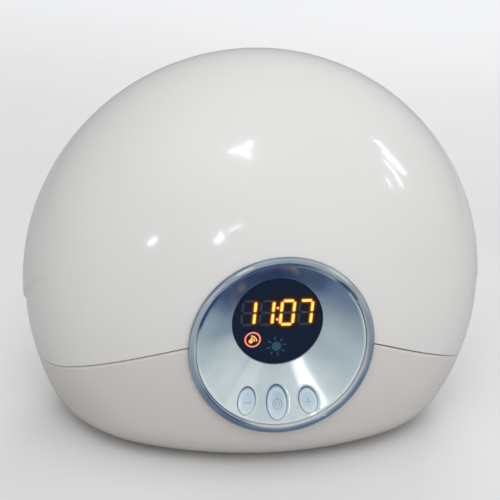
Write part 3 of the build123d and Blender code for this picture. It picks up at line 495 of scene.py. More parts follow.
def makeHousing():
    # Each meridian runs from the parting line to the seam at the back
    start = bodyForm["partingGap"]
    turn = overTheTop(np.linspace(cornerTurn(start), shellLook["sideTo"], shellLook["backColumns"]))
    end = meridianCut(turn, aboveSeam, start, profileLength, last=False)
    start = np.full_like(turn, start)
    grid = shellGrid(turn, start, np.maximum(end, start), np.linspace(0, 1, 60))
    return addGrid("rearHousing", grid, loopRows=True)


def planPoint(turn, distance, height):
    # A point at a distance from the body's upright middle line, at a turn from the front
    back = bodyForm["centre"][1] - distance * np.cos(turn)
    return np.stack([distance * np.sin(turn), back, np.broadcast_to(height, np.shape(distance))], -1)


def unit(vectors):
    # Each vector over its own length
    return vectors / np.linalg.norm(vectors, axis=-1, keepdims=True)


def makeBase():
    # Floor, rolled edge and wall: each column climbs from the floor's middle to the seam or the round hole
    f, hole = bodyForm, faceForm["hole"]
    nearest, farthest, holeColumns = 5.0, 140.0, 120
    holePoint = lambda t: ontoFaceDome(hole * np.cos(t), hole * np.sin(t))
    overSeam = lambda t: holePoint(t)[..., 2] - seamHeight(holePoint(t)[..., 1])
    join = float(bisect(overSeam, -0.6, 0.6))
    corner = holePoint(np.array(join))
    joinTurn = math.atan2(corner[0], f["centre"][1] - corner[1])
    share = np.concatenate([np.linspace(0, 1, 60)[:-1] * 0.35, np.linspace(0.35, 1, 130)])
    seamTurn = joinTurn + share * (math.pi - joinTurn)
    seamTurn = np.concatenate([seamTurn, (fullTurn - seamTurn)[::-1][1:]])
    seamPoint = lambda d: planPoint(seamTurn, d, seamHeight(f["centre"][1] - d * np.cos(seamTurn)))
    near, far = np.full_like(seamTurn, nearest), np.full_like(seamTurn, farthest)
    seamTop = seamPoint(bisect(lambda d: domeArc(seamPoint(d))[0], near, far))
    holeTop = holePoint(np.linspace(math.pi - join, fullTurn + join, holeColumns)[1:-1])
    top = np.concatenate([seamTop, holeTop])
    holeTurn = np.linspace(fullTurn - joinTurn, fullTurn + joinTurn, holeColumns)[1:-1]
    lowTurn = np.concatenate([seamTurn, holeTurn])

    edge = f["edgeRound"]
    height = f["floorUp"] + edge
    near, far = np.full_like(lowTurn, nearest), np.full_like(lowTurn, farthest)
    low = bisect(lambda d: domeArc(planPoint(lowTurn, d, height))[0] + edge, near, far)
    ring = planPoint(lowTurn, low, height)
    rim = domeArc(ring)[1]
    level = unit(rim * np.array([1.0, 1.0, 0.0]))
    full = np.arccos(np.clip(-rim[..., 2], -1, 1))
    down = np.array([0.0, 0.0, -1.0])

    middle = np.array([0.0, 0.0, f["floorUp"]])
    share = np.linspace(0, 1, 12)[:, None, None]
    floorRows = middle + share * (ring + edge * down - middle)
    angle = np.linspace(0, 1, 22)[1:-1, None] * full
    rolledNormals = np.sin(angle)[..., None] * level + np.cos(angle)[..., None] * down
    foot = ring + edge * rim
    before, _ = ontoDome(top + 0.02 * (foot - top))
    tangent, topNormal = unit(top - before), domeArc(top)[1]
    lip = shellLook["lipRound"]
    share = (np.linspace(0, 1, 46) ** 0.9)[:, None, None]
    wallRows, wallNormals = ontoDome(foot + share * (top - lip * tangent - foot))
    outer = np.concatenate([floorRows, ring + edge * rolledNormals, creased(wallRows, wallNormals)])
    normals = np.concatenate([np.broadcast_to(down, floorRows.shape), rolledNormals, wallNormals])
    lips = np.full(len(top), lip), np.full(len(top), shellLook["innerLipRound"])
    turnedEdge = edgeRows(creased(top, topNormal), tangent, topNormal, f["wall"], *lips, 7)
    inside = outer - f["wall"] * normals
    grid = np.concatenate([outer[:-1], turnedEdge, inside[::-1][::3][1:], inside[:1]])
    return addGrid("baseShell", grid, loopColumns=True)


def faceDepth(u, v):
    # How far out of the ring's plane the body's surface lies at (u, v)
    u, v = np.broadcast_arrays(np.asarray(u, float), v)
    return bisect(lambda w: domeArc(onFace(u, v, w))[0], np.full(u.shape, -30.0), np.full(u.shape, 20.0))


def ontoFaceDome(u, v):
    # The body's surface at (u, v) of the face
    return onFace(u, v, faceDepth(u, v))


diffuser = place(makeDiffuser(), diffuserPlastic, "diffuser", "diffuser_dome")
housing = place(makeHousing(), housingPlastic, "housing", "rear_housing")
base = place(makeBase(), basePlastic, "base", "base_shell")
print("shells made: %d, %d and %d faces" % tuple(len(p.data.polygons) for p in (diffuser, housing, base)))

# Front pieces, worked out in the ring's own frame: u sideways, v up the face, w out of it

frontLook = {
    "turns": 240, "dishTurns": 420, "wellTurns": 300, "dishRows": 96, "dishSoft": 0.22,
    "wellSoftness": 1.1, "wellDip": 0.45, "wellCurve": 2.2,
    "windowFace": -11.35, "windowChamfer": 0.2, "windowFlange": -12.65, "windowBack": -13.55,
    "moduleFace": -14.05, "filmRadius": 20.5, "filmUp": 0.01, "glowReach": 0.75, "cut": (-14.0, 2.0),
}
digitLook = {
    "shown": "1107", "row": 9.0, "height": 11.2, "width": 6.3, "stroke": 1.27, "pitch": 7.3,
    "colonSpace": 1.0, "slant": math.radians(3.0), "gap": 0.68, "barHeight": 0.25, "darkWidth": 0.8,
    "barUp": 0.02, "colon": {"at": 0.15, "drop": 0.4, "apart": 2.4, "radius": 0.62},
}
keyLook = {
    "minus": {"at": (-12.4, -24.3), "stem": (-12.3, -24.5), "radii": (3.6, 4.95), "turn": -10, "tone": 0.55},
    "light": {"at": (0.0, -25.7), "stem": (0.0, -24.5), "radii": (4.1, 6.25), "turn": 0, "tone": 0.48},
    "plus": {"at": (12.5, -24.7), "stem": (12.3, -24.5), "radii": (3.6, 4.8), "turn": 10, "tone": 0.55},
}
keyForm = {
    "proud": 1.15, "gap": 0.2, "crown": 0.8, "shoulder": 0.6, "flange": 0.8, "flangeTop": -11.4,
    "flangeHeight": 1.0, "stemRadius": 2.0, "stemEnd": -14.25, "emboss": 0.18, "turns": 120,
}


def inFace(points):
    # The reverse of onFace: how far a point lies sideways, up and out of the ring's plane
    d = points - faceForm["centre"]
    return d[..., 0], d @ faceForm["up"], d @ faceForm["forward"]


def vertexPoints(piece):
    # The piece's vertices, in millimetres
    points = np.empty(len(piece.data.vertices) * 3)
    piece.data.vertices.foreach_get("co", points)
    return points.reshape(-1, 3) / mm


def paint(mesh, name, values):
    # One number at each vertex, for a material to read
    attribute = mesh.attributes.new(name, "FLOAT", "POINT")
    attribute.data.foreach_set("value", np.asarray(values, np.float32))


def turned(turn, radius, height, up=0.0):
    # A turned shape about the face's axis: each row has a radius and a height at every turn
    return onFace(radius * np.cos(turn), up + radius * np.sin(turn), height)


def circle(count):
    # Angles around a circle, without the last, which is the first again
    return np.linspace(0, fullTurn, count, endpoint=False)


def blend(low, high, count):
    # Rows from one row of numbers to another: low and high mixed by shares that grow evenly
    share = np.linspace(0, 1, count)[:, None]
    return (1 - share) * np.asarray(low, float) + share * np.asarray(high, float)


def bump(angle, middle, spread):
    # One at the middle angle, falling smoothly to nothing at spread degrees to each side
    away = np.abs((angle - middle + 180) % 360 - 180)
    return 1 - smooth(away, 0.45 * spread, spread)


def zones(angle, *parts):
    # The sum of some bumps, each with its strength, middle and spread
    return sum(strength * bump(angle, middle, spread) for strength, middle, spread in parts)


# Painted light and shade on the ring: painted shade, painted glints and the painted dark of the gap behind
# the clear ring, each strength, middle and spread in degrees, counted from the right. The ring's width counts
# as 90 degrees;
# edges are shares of it between which a part fades.
ringZones = {
    # The gleams are painted glints near the crown's top; the ripple is a painted flicker standing for
    # refraction
    "tone": 0.53, "width": (0.10, 52, 40), "paintedRefractionRipple": 0.05, "rim": 0.22, "rimEdge": (0.88, 0.98),
    "around": [(0.04, 175, 50), (0.08, 110, 30), (-0.20, 265, 90), (-0.08, 350, 45), (0.11, 50, 50),
               (0.09, 157, 22)],
    "outside": [(0.10, 80, 45), (0.16, 205, 38)], "outsideEdge": (0.7, 0.85),
    "groove": [(0.16, 300, 85), (0.22, 180, 20), (-0.22, 98, 18)], "grooveAt": (18, 16),
    "inside": [(0.62, 280, 100), (0.30, 25, 50)], "insideEdge": (0.02, 0.15),
    "dark": [(1.0, 156, 22), (1.0, 43, 12), (1.0, 95, 30), (0.5, 230, 30)], "darkEdge": (0.12, 0.30),
    "darkest": 0.80, "darkLift": 0.22,
    "paintedGleam": [(1.0, 117, 7), (0.6, 139, 10), (0.5, 56, 12)], "paintedGleamAt": (60, 16), "paintedGleamLight": 0.4,
}


def makeBezelRing():
    # A crowned rim, its outer wall down to the shells, and a tube through the hole with a ledge inside. The
    # crown is an arc over the ring's width: radius (half width squared + crown squared) / (2 * crown).
    g, count = faceForm, frontLook["turns"]
    turn, flat = circle(count), np.ones(count)
    outer, inner = g["ringRadius"], g["ringRadius"] - g["ringWidth"]
    tube, ledge = outer - g["lip"], inner - g["ledge"]
    onShell = lambda r: faceDepth(r * np.cos(turn), r * np.sin(turn)) + g["gap"]
    half, middle = g["ringWidth"] / 2, (outer + inner) / 2
    arc = (half ** 2 + g["crown"] ** 2) / (2 * g["crown"])
    sweep = math.asin(half / arc) * np.linspace(-1, 1, 21)[:, None]
    low, high = -g["ringDepth"] * flat, -(g["ringDepth"] - g["ledgeHeight"]) * flat
    under = np.linspace(outer, tube, 4)
    sides = [
        (outer, outer, 0 * flat, onShell(outer), 6), (tube, tube, onShell(tube), low, 5),
        (tube, ledge, low, low, 2), (ledge, ledge, low, high, 3), (inner, inner, high, 0 * flat, 14),
    ]
    radius = [blend(r0 * flat, r1 * flat, steps) for r0, r1, _, _, steps in sides]
    height = [blend(w0, w1, steps) for _, _, w0, w1, steps in sides]
    # the underside of the lip, between the outer wall and the tube, and before them all the crown
    radius.insert(1, under[:, None] * flat)
    height.insert(1, np.stack([onShell(r) for r in under]))
    radius.insert(0, (middle + arc * np.sin(sweep)) * flat)
    height.insert(0, (g["crown"] - arc + arc * np.cos(sweep)) * flat)
    piece = addGrid("bezelRing", turned(turn, np.concatenate(radius), np.concatenate(height)), True, True)
    # The ring's colour carries painted light and shade, painted glints and painted reflections
    paint(piece.data, "shade", ringShade(*inFace(vertexPoints(piece))[:2], inner))
    return piece


def ringShade(u, v, inner):
    # Painted light and shade on the ring, from the angle and the share of its width: the sum of its painted
    # light and dark places, painted glints and a painted ripple standing for refraction
    look, out, angle = ringZones, np.hypot(u, v), np.degrees(np.arctan2(v, u)) % 360
    across = (out - inner) / faceForm["ringWidth"]
    width, past = across * 90, lambda edge: smooth(across, *look[edge])
    shade = look["tone"] + zones(width, look["width"]) + zones(angle, *look["around"])
    shade = shade - look["rim"] * past("rimEdge") + past("outsideEdge") * zones(angle, *look["outside"])
    shade = shade + bump(width, *look["grooveAt"]) * zones(angle, *look["groove"])
    shade = shade + (1 - past("insideEdge")) * zones(angle, *look["inside"])
    dark = np.clip(zones(angle, *look["dark"]), 0, 1)
    shade = shade - (1 - past("darkEdge")) * (look["darkest"] * dark - look["darkLift"])
    # Painted glints near the crown's top
    shade = shade + look["paintedGleamLight"] * bump(width, *look["paintedGleamAt"]) * zones(angle, *look["paintedGleam"])
    turn = np.radians(angle)
    # A painted ripple standing for refraction
    return np.clip(shade + look["paintedRefractionRipple"] * np.sin(turn * 11) * np.sin(turn * 4 + 1), 0, 1)


def dishDepth(u, v):
    # Depth of the off-centre funnel under the ring plane: the circle through (u, v) shrinks and climbs, so
    # its share of the way from mouth to window solves a quadratic
    g = faceForm
    grow, up = g["mouth"] - g["apertureRadius"], g["apertureUp"]
    a, b, c = grow ** 2 - up ** 2, -(g["mouth"] * grow - v * up), g["mouth"] ** 2 - u ** 2 - v ** 2
    share = (-b - np.sqrt(np.maximum(b * b - a * c, 0))) / a
    return g["panelDrop"] + share * g["dishDepth"]


def inOval(u, v, look):
    # A point in the turned oval's own frame: along its width and its height
    turn = math.radians(look["turn"])
    du, dv = u - look["at"][0], v - look["at"][1]
    return math.cos(turn) * du + math.sin(turn) * dv, math.cos(turn) * dv - math.sin(turn) * du


def ovalDistance(u, v, look, grow):
    # Distance outside a turned oval, near enough close to its edge: (level - 1) over the level's slope
    a, b = inOval(u, v, look)
    ra, rb = look["radii"][0] + grow, look["radii"][1] + grow
    level = np.hypot(a / ra, b / rb)
    slope = np.hypot(a / ra ** 2, b / rb ** 2) / np.maximum(level, 1e-6)
    return (level - 1) / np.maximum(slope, 1e-6)


def ovalRing(look, grow, count=96):
    # Outline of a turned oval: centre + turned (width * cosine, height * sine)
    t, turn = circle(count), math.radians(look["turn"])
    a, b = (look["radii"][0] + grow) * np.cos(t), (look["radii"][1] + grow) * np.sin(t)
    u, v = math.cos(turn) * a - math.sin(turn) * b, math.sin(turn) * a + math.cos(turn) * b
    return look["at"][0] + u, look["at"][1] + v


def makeDishPanel():
    # A funnel from the round window up to the rim, its skirt, and three wells with softened edges. Each part
    # is (radius, how far its centre lies up the face, height) for some rows.
    g, look = faceForm, frontLook
    first, last, well = math.radians(-135), math.radians(225), math.radians(-45)
    rest = np.linspace(well, last, look["dishTurns"] - look["wellTurns"] + 2)[1:-1]
    turn = np.concatenate([np.linspace(first, well, look["wellTurns"]), rest])
    rim, mouth, hole, up = g["rim"], g["mouth"], g["apertureRadius"], g["apertureUp"]
    top, deep = -g["panelDrop"], -g["panelDrop"] - g["dishDepth"]
    skirt, soft = g["skirtEnd"], look["dishSoft"]
    back, inside = deep - g["panelWall"], rim - g["skirtWall"]
    flat = np.ones(len(turn))
    share = np.linspace(0, 1, look["dishRows"])[:, None] * flat
    lip = np.linspace(0, math.pi / 2, 6)[:, None] * flat
    way = share[1:-1]
    parts = [
        (hole * flat, up * flat, back * flat), (hole * flat, up * flat, (deep - soft) * flat),
        (hole + soft * (1 - np.cos(lip)), up + 0 * lip, deep - soft + soft * np.sin(lip)),
        (hole + soft + way * (mouth - hole - soft), up * (1 - way), deep + way * (top - deep)),
        (mouth + (rim - mouth - soft) * share[[0, -1]], 0 * share[:2], top + 0 * share[:2]),
        (rim - soft + soft * np.sin(lip[1:]), 0 * lip[1:], top - soft + soft * np.cos(lip[1:])),
        (rim * flat, 0 * flat, skirt * flat), (inside * flat, 0 * flat, skirt * flat),
        (inside * flat, 0 * flat, (skirt + g["skirtStep"]) * flat),
        ((hole + g["apertureBorder"]) * flat, up * flat, back * flat),
    ]
    radius, lift, height = (np.concatenate([np.atleast_2d(part[k]) for part in parts]) for k in range(3))
    u, v = radius * np.cos(turn), lift + radius * np.sin(turn)
    dip = np.zeros_like(u)
    for key in keyLook.values():
        away = np.clip(ovalDistance(u, v, key, keyForm["gap"]) / look["wellSoftness"], 0, 1)
        dip = np.maximum(dip, look["wellDip"] * (1 - away) ** look["wellCurve"])
    front, mouthRow = np.zeros(radius.shape), sum(len(np.atleast_2d(part[0])) for part in parts[:3])
    front[mouthRow:mouthRow + look["dishRows"] - 1] = 1
    piece = addGrid("dishPanel", onFace(u, v, height - dip * front), True, True)
    cutInto(piece, [ovalCutter(key, keyForm["gap"], *look["cut"]) for key in keyLook.values()])
    # The dish's painted light, shade and reflection
    paint(piece.data, "shade", dishShade(*inFace(vertexPoints(piece))[:2]))
    return piece


# The same for the dish, all painted light and shade: a painted fall from light below to dark reflection above
# that one side is spared, the painted light and dark lip at its rim, and painted highlights (the gleams)
dishZones = {
    "tone": 0.75, "fall": 0.70, "fallFrom": (0.12, 0.98), "below": 0.16, "belowFrom": (-0.1, 0.55),
    "spared": [(0.42, 56, 42), (0.16, 105, 30)], "sparedTo": (0.5, 0.9), "lipEdge": (0.962, 0.985),
    "lip": [(0.40, 28, 50), (0.20, 275, 95), (-0.9, 156, 20), (-0.5, 44, 9)],
    "left": (-0.07, 195, 35), "leftFrom": (0.6, 0.9), "inside": (-0.20, 160, 40), "insideTo": (0.6, 1.0),
    "right": (-0.10, 30, 40), "rightFrom": (0.5, 0.9),
    "paintedGleam": [(0.20, 299, 9), (0.08, 240, 12), (0.10, 205, 30)],
}


def dishShade(u, v):
    # Painted light, shade and reflection on the dish, from the angle about a point between its two centres
    # and the share of its radius
    look, rim, middle = dishZones, faceForm["rim"], faceForm["apertureUp"] * 0.5
    angle, out = np.degrees(np.arctan2(v - middle, u)) % 360, np.hypot(u, v - middle) / rim
    past = lambda edge: smooth(out, *look[edge])
    kept = 1 - past("sparedTo") * zones(angle, *look["spared"])
    shade = look["tone"] - look["fall"] * kept * smooth(v / rim, *look["fallFrom"])
    shade = shade + look["below"] * smooth(-v / rim, *look["belowFrom"])
    shade = shade + smooth(np.hypot(u, v) / rim, *look["lipEdge"]) * zones(angle, *look["lip"])
    shade = shade + zones(angle, look["left"]) * past("leftFrom")
    shade = shade + zones(angle, look["right"]) * past("rightFrom")
    shade = shade + zones(angle, look["inside"]) * (1 - past("insideTo"))
    return np.clip(shade + zones(angle, *look["paintedGleam"]), 0, 1)


def columnOf(low, high):
    # Closed column between two rings of points, wound outwards: the rings' middles close its ends
    winding = np.cross(low - low.mean(0), np.roll(low, -1, 0) - low.mean(0)).sum(0)
    if winding @ (high.mean(0) - low.mean(0)) > 0:
        low, high = low[::-1], high[::-1]
    ends = (np.broadcast_to(ring.mean(0), ring.shape) for ring in (low, high))
    return np.stack([next(ends), low, high, next(ends)])


def ovalCutter(look, grow, low, high):
    # A column over a turned oval, square to the face
    u, v = ovalRing(look, grow)
    return columnOf(onFace(u, v, low), onFace(u, v, high))


def cutInto(piece, cutters):
    # Cut closed columns out of a piece; each cutter is a grid whose first and last rows are points
    tool = addMesh("cutter", *joinGrids(cutters))
    cut = piece.modifiers.new("cut", "BOOLEAN")
    cut.operation, cut.solver, cut.object = "DIFFERENCE", "EXACT", tool
    bpy.context.view_layer.update()
    result = bpy.data.meshes.new_from_object(piece.evaluated_get(bpy.context.evaluated_depsgraph_get()))
    piece.modifiers.clear()
    piece.data = result
    shadeSmooth(result)
    result.set_sharp_from_angle(angle=sharpAngle)
    bpy.data.objects.remove(tool)


def makeWindow():
    # A flat dark disc with a fine chamfer, on its flange, turned about the window's middle
    g, look = faceForm, frontLook
    middle, turns = 0.001, 160
    face, flange, back = look["windowFace"], look["windowFlange"], look["windowBack"]
    edge, chamfer = g["apertureRadius"] - g["gap"], look["windowChamfer"]
    wide = edge + g["apertureBorder"]
    radius = [middle, 6, 12, edge - chamfer, edge, edge, wide, wide, 12, middle]
    height = [face, face, face, face, face - chamfer, flange, flange, back, back, back]
    radius, height = np.array(radius)[:, None], np.array(height)[:, None] * np.ones(turns)
    return addGrid("displayWindow", turned(circle(turns), radius, height, g["apertureUp"]), False, True)


def barGrid(start, end, halfWidth, height):
    # A rounded bar from start to end: rings of a stadium shrink to its middle line, over a domed top
    start, end, count = np.array(start, float), np.array(end, float), 20
    t = np.linspace(-math.pi / 2, 1.5 * math.pi, count, endpoint=False) + math.pi / count
    along = unit(end - start)
    across = np.array([-along[1], along[0]])
    tip = np.where((np.cos(t) > 0)[:, None], end, start)
    ring = np.cos(t)[:, None] * along + np.sin(t)[:, None] * across
    out = np.array([0.0, 0.35, 0.6, 0.8, 0.92, 1.0, 1.0, 0.0])
    dome = np.array([1.0, 0.99, 0.95, 0.84, 0.62, 0.3, 0.0, 0.0])
    up = frontLook["moduleFace"] + digitLook["barUp"] + height * dome
    flat = tip + out[:, None, None] * halfWidth * ring
    return onFace(flat[..., 0], flat[..., 1], up[:, None]), np.repeat(out, count)


def makeBars(name, bars):
    # Every bar in one mesh, with the share of the way from its middle line to its edge
    grids, shares = zip(*(barGrid(*bar) for bar in bars))
    mesh = meshOf(name, *joinGrids(grids))
    paint(mesh, "share", np.concatenate(shares))
    work = bmesh.new()
    work.from_mesh(mesh)
    bmesh.ops.remove_doubles(work, verts=work.verts, dist=1e-7)
    bmesh.ops.recalc_face_normals(work, faces=work.faces)
    work.to_mesh(mesh)
    work.free()
    shadeSmooth(mesh)
    return linked(name, mesh)


def digitBars():
    # Ends of every segment's middle line, lit and dark; the slant moves a point sideways by height * tangent
    look = digitLook
    w, h = (look["width"] - look["stroke"]) / 2, (look["height"] - look["stroke"]) / 2
    gap, half = look["gap"] + look["stroke"] / 4, look["stroke"] / 2
    ends = {
        "a": ((-w + gap, h), (w - gap, h)), "d": ((-w + gap, -h), (w - gap, -h)),
        "g": ((-w + gap, 0), (w - gap, 0)), "b": ((w, gap), (w, h - gap)), "c": ((w, gap - h), (w, -gap)),
        "f": ((-w, gap), (-w, h - gap)), "e": ((-w, gap - h), (-w, -gap)),
    }
    shown = {"0": "abcdef", "1": "bc", "7": "abc"}
    lit, dark = [], []
    for spot, digit in enumerate(look["shown"]):
        middle = (spot - 1.5) * look["pitch"] + look["colonSpace"] * (0.5 if spot > 1 else -0.5)
        for name, pair in ends.items():
            line = [(middle + x + y * math.tan(look["slant"]), look["row"] + y) for x, y in pair]
            if name in shown[digit]:
                lit.append((*line, half, look["barHeight"]))
            else:
                dark.append((*line, look["darkWidth"] * half, look["barHeight"]))
    return lit, dark


def colonDots():
    # Two very short bars, one over the other
    look = digitLook["colon"]
    x, half, row = look["at"], 0.02, digitLook["row"] - look["drop"]
    rows = [row + side * look["apart"] for side in (-1, 1)]
    return [((x - half, y), (x + half, y), look["radius"], digitLook["barHeight"]) for y in rows]


def circlePoints(middle, radius, angles):
    # Points on a circle, one for each angle
    return [middle + radius * np.array([math.cos(t), math.sin(t)]) for t in angles]


def chain(points, halfWidth, height):
    # A bar between each point and the next
    return [(a, b, halfWidth, height) for a, b in zip(points[:-1], points[1:])]


# Small signs in the window: places and radii, then half widths and heights of their bars
iconLook = {
    "alarmAt": (-9.3, -2.3), "alarmRadius": 3.0, "alarmBars": (0.37, 0.2), "dotAt": (-0.75, -0.7),
    "dotBar": (0.95, 0.24), "waves": (1.45, 2.35), "waveTurn": (0.05, 1.5), "waveBars": (0.26, 0.22),
    "sunAt": (0.5, -5.4), "sunBar": (2.0, 0.2), "rayFrom": 2.9, "rayTo": 3.9, "rayBars": (0.3, 0.2),
    "rayTurn": 0.2,
}


def alarmIcon():
    # A ring with a dot and two short arcs: the alarm is set
    look = iconLook
    middle = np.array(look["alarmAt"])
    dot = middle + np.array(look["dotAt"])
    inner = [(dot, dot + 0.05, *look["dotBar"])]
    for radius in look["waves"]:
        inner += chain(circlePoints(dot, radius, np.linspace(*look["waveTurn"], 8)), *look["waveBars"])
    ring = circlePoints(middle, look["alarmRadius"], np.linspace(0, fullTurn, 37))
    return chain(ring, *look["alarmBars"]), inner


def sunIcon():
    # A dot with eight short rays
    look = iconLook
    middle, angles, half = np.array(look["sunAt"]), circle(8) + look["rayTurn"], np.array([0.02, 0])
    starts, ends = (circlePoints(middle, look[key], angles) for key in ("rayFrom", "rayTo"))
    rays = [(a, b, *look["rayBars"]) for a, b in zip(starts, ends)]
    return [(middle - half, middle + half, *look["sunBar"])] + rays


def makeGlowSheet(lit):
    # A black film behind the window, with the light that spreads from each bar: it falls as the exponential
    # of the distance over its reach
    look, rows, turns, middle, farOff = frontLook, 104, 360, 0.001, 99.0
    radius = np.linspace(look["filmRadius"], middle, rows)[:, None]
    film = turned(circle(turns), radius, look["moduleFace"] + look["filmUp"], faceForm["apertureUp"])
    piece = addGrid("displayFilm", film, False, True, keepWinding=True)
    u, v, _ = inFace(vertexPoints(piece))
    away = np.full(u.shape, farOff)
    for a, b, halfWidth, _ in lit:
        a, d = np.array(a), np.array(b) - a
        t = np.clip(((u - a[0]) * d[0] + (v - a[1]) * d[1]) / (d @ d), 0, 1)
        away = np.minimum(away, np.hypot(u - a[0] - t * d[0], v - a[1] - t * d[1]) - halfWidth)
    paint(piece.data, "glow", np.exp(-np.maximum(away, 0) / look["glowReach"]))
    return piece


# Signs on the keys: half lengths and half widths of bars, radii and half widths of rings
signs = {
    "bar": (1.35, 0.24), "ringDown": 0.2, "ring": (1.75, 0.24), "dot": (0.75, 0.2),
    "strokeUp": 2.2, "stroke": (0.2, 0.5),
}


def signHeight(name, u, v):
    # Raised signs: a bar, a cross of two bars, or a ring with a smaller one in it and a stroke at its top.
    # The height falls smoothly across each sign's edge.
    bar = lambda a, b, up=0.0: np.maximum(np.abs(u) - a, np.abs(v - up) - b)
    ring = lambda radius, half: np.abs(np.hypot(u, v + signs["ringDown"]) - radius) - half
    long, wide = signs["bar"]
    if name == "minus":
        away = bar(long, wide)
    elif name == "plus":
        away = np.minimum(bar(long, wide), bar(wide, long))
    else:
        stroke = bar(*signs["stroke"], signs["strokeUp"])
        away = np.minimum(np.minimum(ring(*signs["ring"]), ring(*signs["dot"])), stroke)
    return keyForm["emboss"] * (1 - smooth(away, -0.1, 0.12))


def makeKey(name):
    # A crowned oval cap that follows the dish's slope: rings of the oval shrink to its middle, at a height
    # over the dish that falls with the square of the share; then its wall, its flange and its stem
    look, form, count = keyLook[name], keyForm, keyForm["turns"]
    (cu, cv), (stemU, stemV) = look["at"], look["stem"]
    u0, v0 = ovalRing(look, 0.0, count)
    u1, v1 = ovalRing(look, form["flange"], count)
    inward = 1 - form["shoulder"] / look["radii"][0]
    share = np.linspace(0, 1, 44)[:, None]
    u, v = cu + share * inward * (u0 - cu), cv + share * inward * (v0 - cv)
    top = form["proud"] - form["emboss"]
    crown = top - dishDepth(u, v) - form["crown"] * share ** 2 + signHeight(name, *inOval(u, v, look))
    bend = np.linspace(0, math.pi / 2, 9)[1:, None]
    soft = inward + (1 - inward) * np.sin(bend)
    edge = top - form["crown"] - form["shoulder"] * (1 - np.cos(bend))
    edgeU, edgeV = cu + soft * (u0 - cu), cv + soft * (v0 - cv)
    t = circle(count) + math.radians(look["turn"])
    su, sv = stemU + form["stemRadius"] * np.cos(t), stemV + form["stemRadius"] * np.sin(t)
    high, low, end = form["flangeTop"], form["flangeTop"] - form["flangeHeight"], form["stemEnd"]
    rings = [(u, v, crown), (edgeU, edgeV, edge - dishDepth(edgeU, edgeV))]
    rings += [(u0, v0, high), (u1, v1, high), (u1, v1, low)]
    rings += [(su, sv, low), (su, sv, end), (stemU, stemV, end)]
    full = lambda values: np.broadcast_to(values, (len(values) if np.ndim(values) > 1 else 1, count))
    u, v, w = (np.concatenate([full(ring[k]) for ring in rings]) for k in range(3))
    piece = addGrid("key_" + name, onFace(u, v, w), False, True)
    # The key's painted light and shade
    paint(piece.data, "shade", keyShade(name, *inFace(vertexPoints(piece))))
    return piece


# Painted light and shade on the keys: strengths, and shares of the oval or millimetres between which they
# come in
keyZones = {
    "fall": (0.20, -0.8, 0.9), "sign": 1.1, "edge": (0.14, 0.55, 0.8), "edgeTo": (0.84, 0.93),
    "wall": (0.20, 0.9, 1.0), "rimEdge": (0.84, 0.97), "rim": [(0.16, 250, 80), (-0.34, 75, 75)],
    "drop": (0.18, 1.2, 2.4),
}


def keyShade(name, x, y, z):
    # Painted light and shade on a key: painted lighter below, with a painted highlight edge, a painted shadow
    # rim at its upper right and painted shade on its walls
    look, zone = keyLook[name], keyZones
    part = lambda key, values: zone[key][0] * smooth(values, *zone[key][1:])
    a, b = inOval(x, y, look)
    sign = signHeight(name, a, b)
    a, b = a / look["radii"][0], b / look["radii"][1]
    level, rimAngle = np.hypot(a, b), np.degrees(np.arctan2(b, a))
    shade = look["tone"] + part("fall", -b) - zone["sign"] * sign
    shade = shade + part("edge", level) * (1 - smooth(level, *zone["edgeTo"])) - part("wall", level)
    shade = shade + smooth(level, *zone["rimEdge"]) * zones(rimAngle, *zone["rim"])
    return np.clip(shade - part("drop", keyForm["proud"] - dishDepth(x, y) - z), 0, 1)


def attributeOf(tree, name):
    # A number that the piece carries at each vertex
    return addNode(tree, "ShaderNodeAttribute", attribute_name=name).outputs["Fac"]


def shadedFinish(name, stops, rough, **settings):
    # Colour from the painted light and shade that a piece carries, with slow drift and uneven gloss
    material, tree, shader = newMaterial(name)
    drift = addNode(tree, "ShaderNodeMath", operation="ADD")
    wire(
        tree, (attributeOf(tree, "shade"), drift.inputs[0]),
        (rangeOf(tree, noiseOf(tree, 90.0), -0.03, 0.03), drift.inputs[1]),
        (rampOf(tree, drift.outputs[0], stops), shader.inputs["Base Color"]),
        (rangeOf(tree, noiseOf(tree, 220.0), *rough), shader.inputs["Roughness"]),
    )
    bumpOf(tree, shader, noiseOf(tree, 1500.0, detail=2.0), strength=0.25, distance=0.000005)
    setOn(shader, **settings)
    return material


def glowing(name, stops, strength, source="share"):
    # Light from the bars: the colour goes from the middle line to the edge
    material, tree, shader = newMaterial(name)
    colour = rampOf(tree, attributeOf(tree, source), stops)
    wire(
        tree, (colour, shader.inputs["Emission Color"]), (colour, shader.inputs["Base Color"]),
        (rangeOf(tree, noiseOf(tree, 700.0), strength * 0.93, strength * 1.07),
         shader.inputs["Emission Strength"]),
        (rangeOf(tree, noiseOf(tree, 400.0), 0.35, 0.5), shader.inputs["Roughness"]),
    )
    return material


# The ring's colour ramp: navy where its painted shade is darkest, pale where its painted light and glints are
ringPlasticAndPaintedLight = shadedFinish(
    "tintedClearPlasticWithPaintedLight",
    [(0.0, (0.01, 0.02, 0.09)), (0.25, (0.04, 0.085, 0.20)), (0.45, (0.13, 0.22, 0.35)),
     (0.65, (0.33, 0.43, 0.53)), (0.85, (0.56, 0.63, 0.68)), (1.0, (0.82, 0.86, 0.88))],
    (0.04, 0.09), **{"Transmission Weight": 0.3, "IOR": 1.49, "Coat Weight": 0.8, "Coat Roughness": 0.03},
)
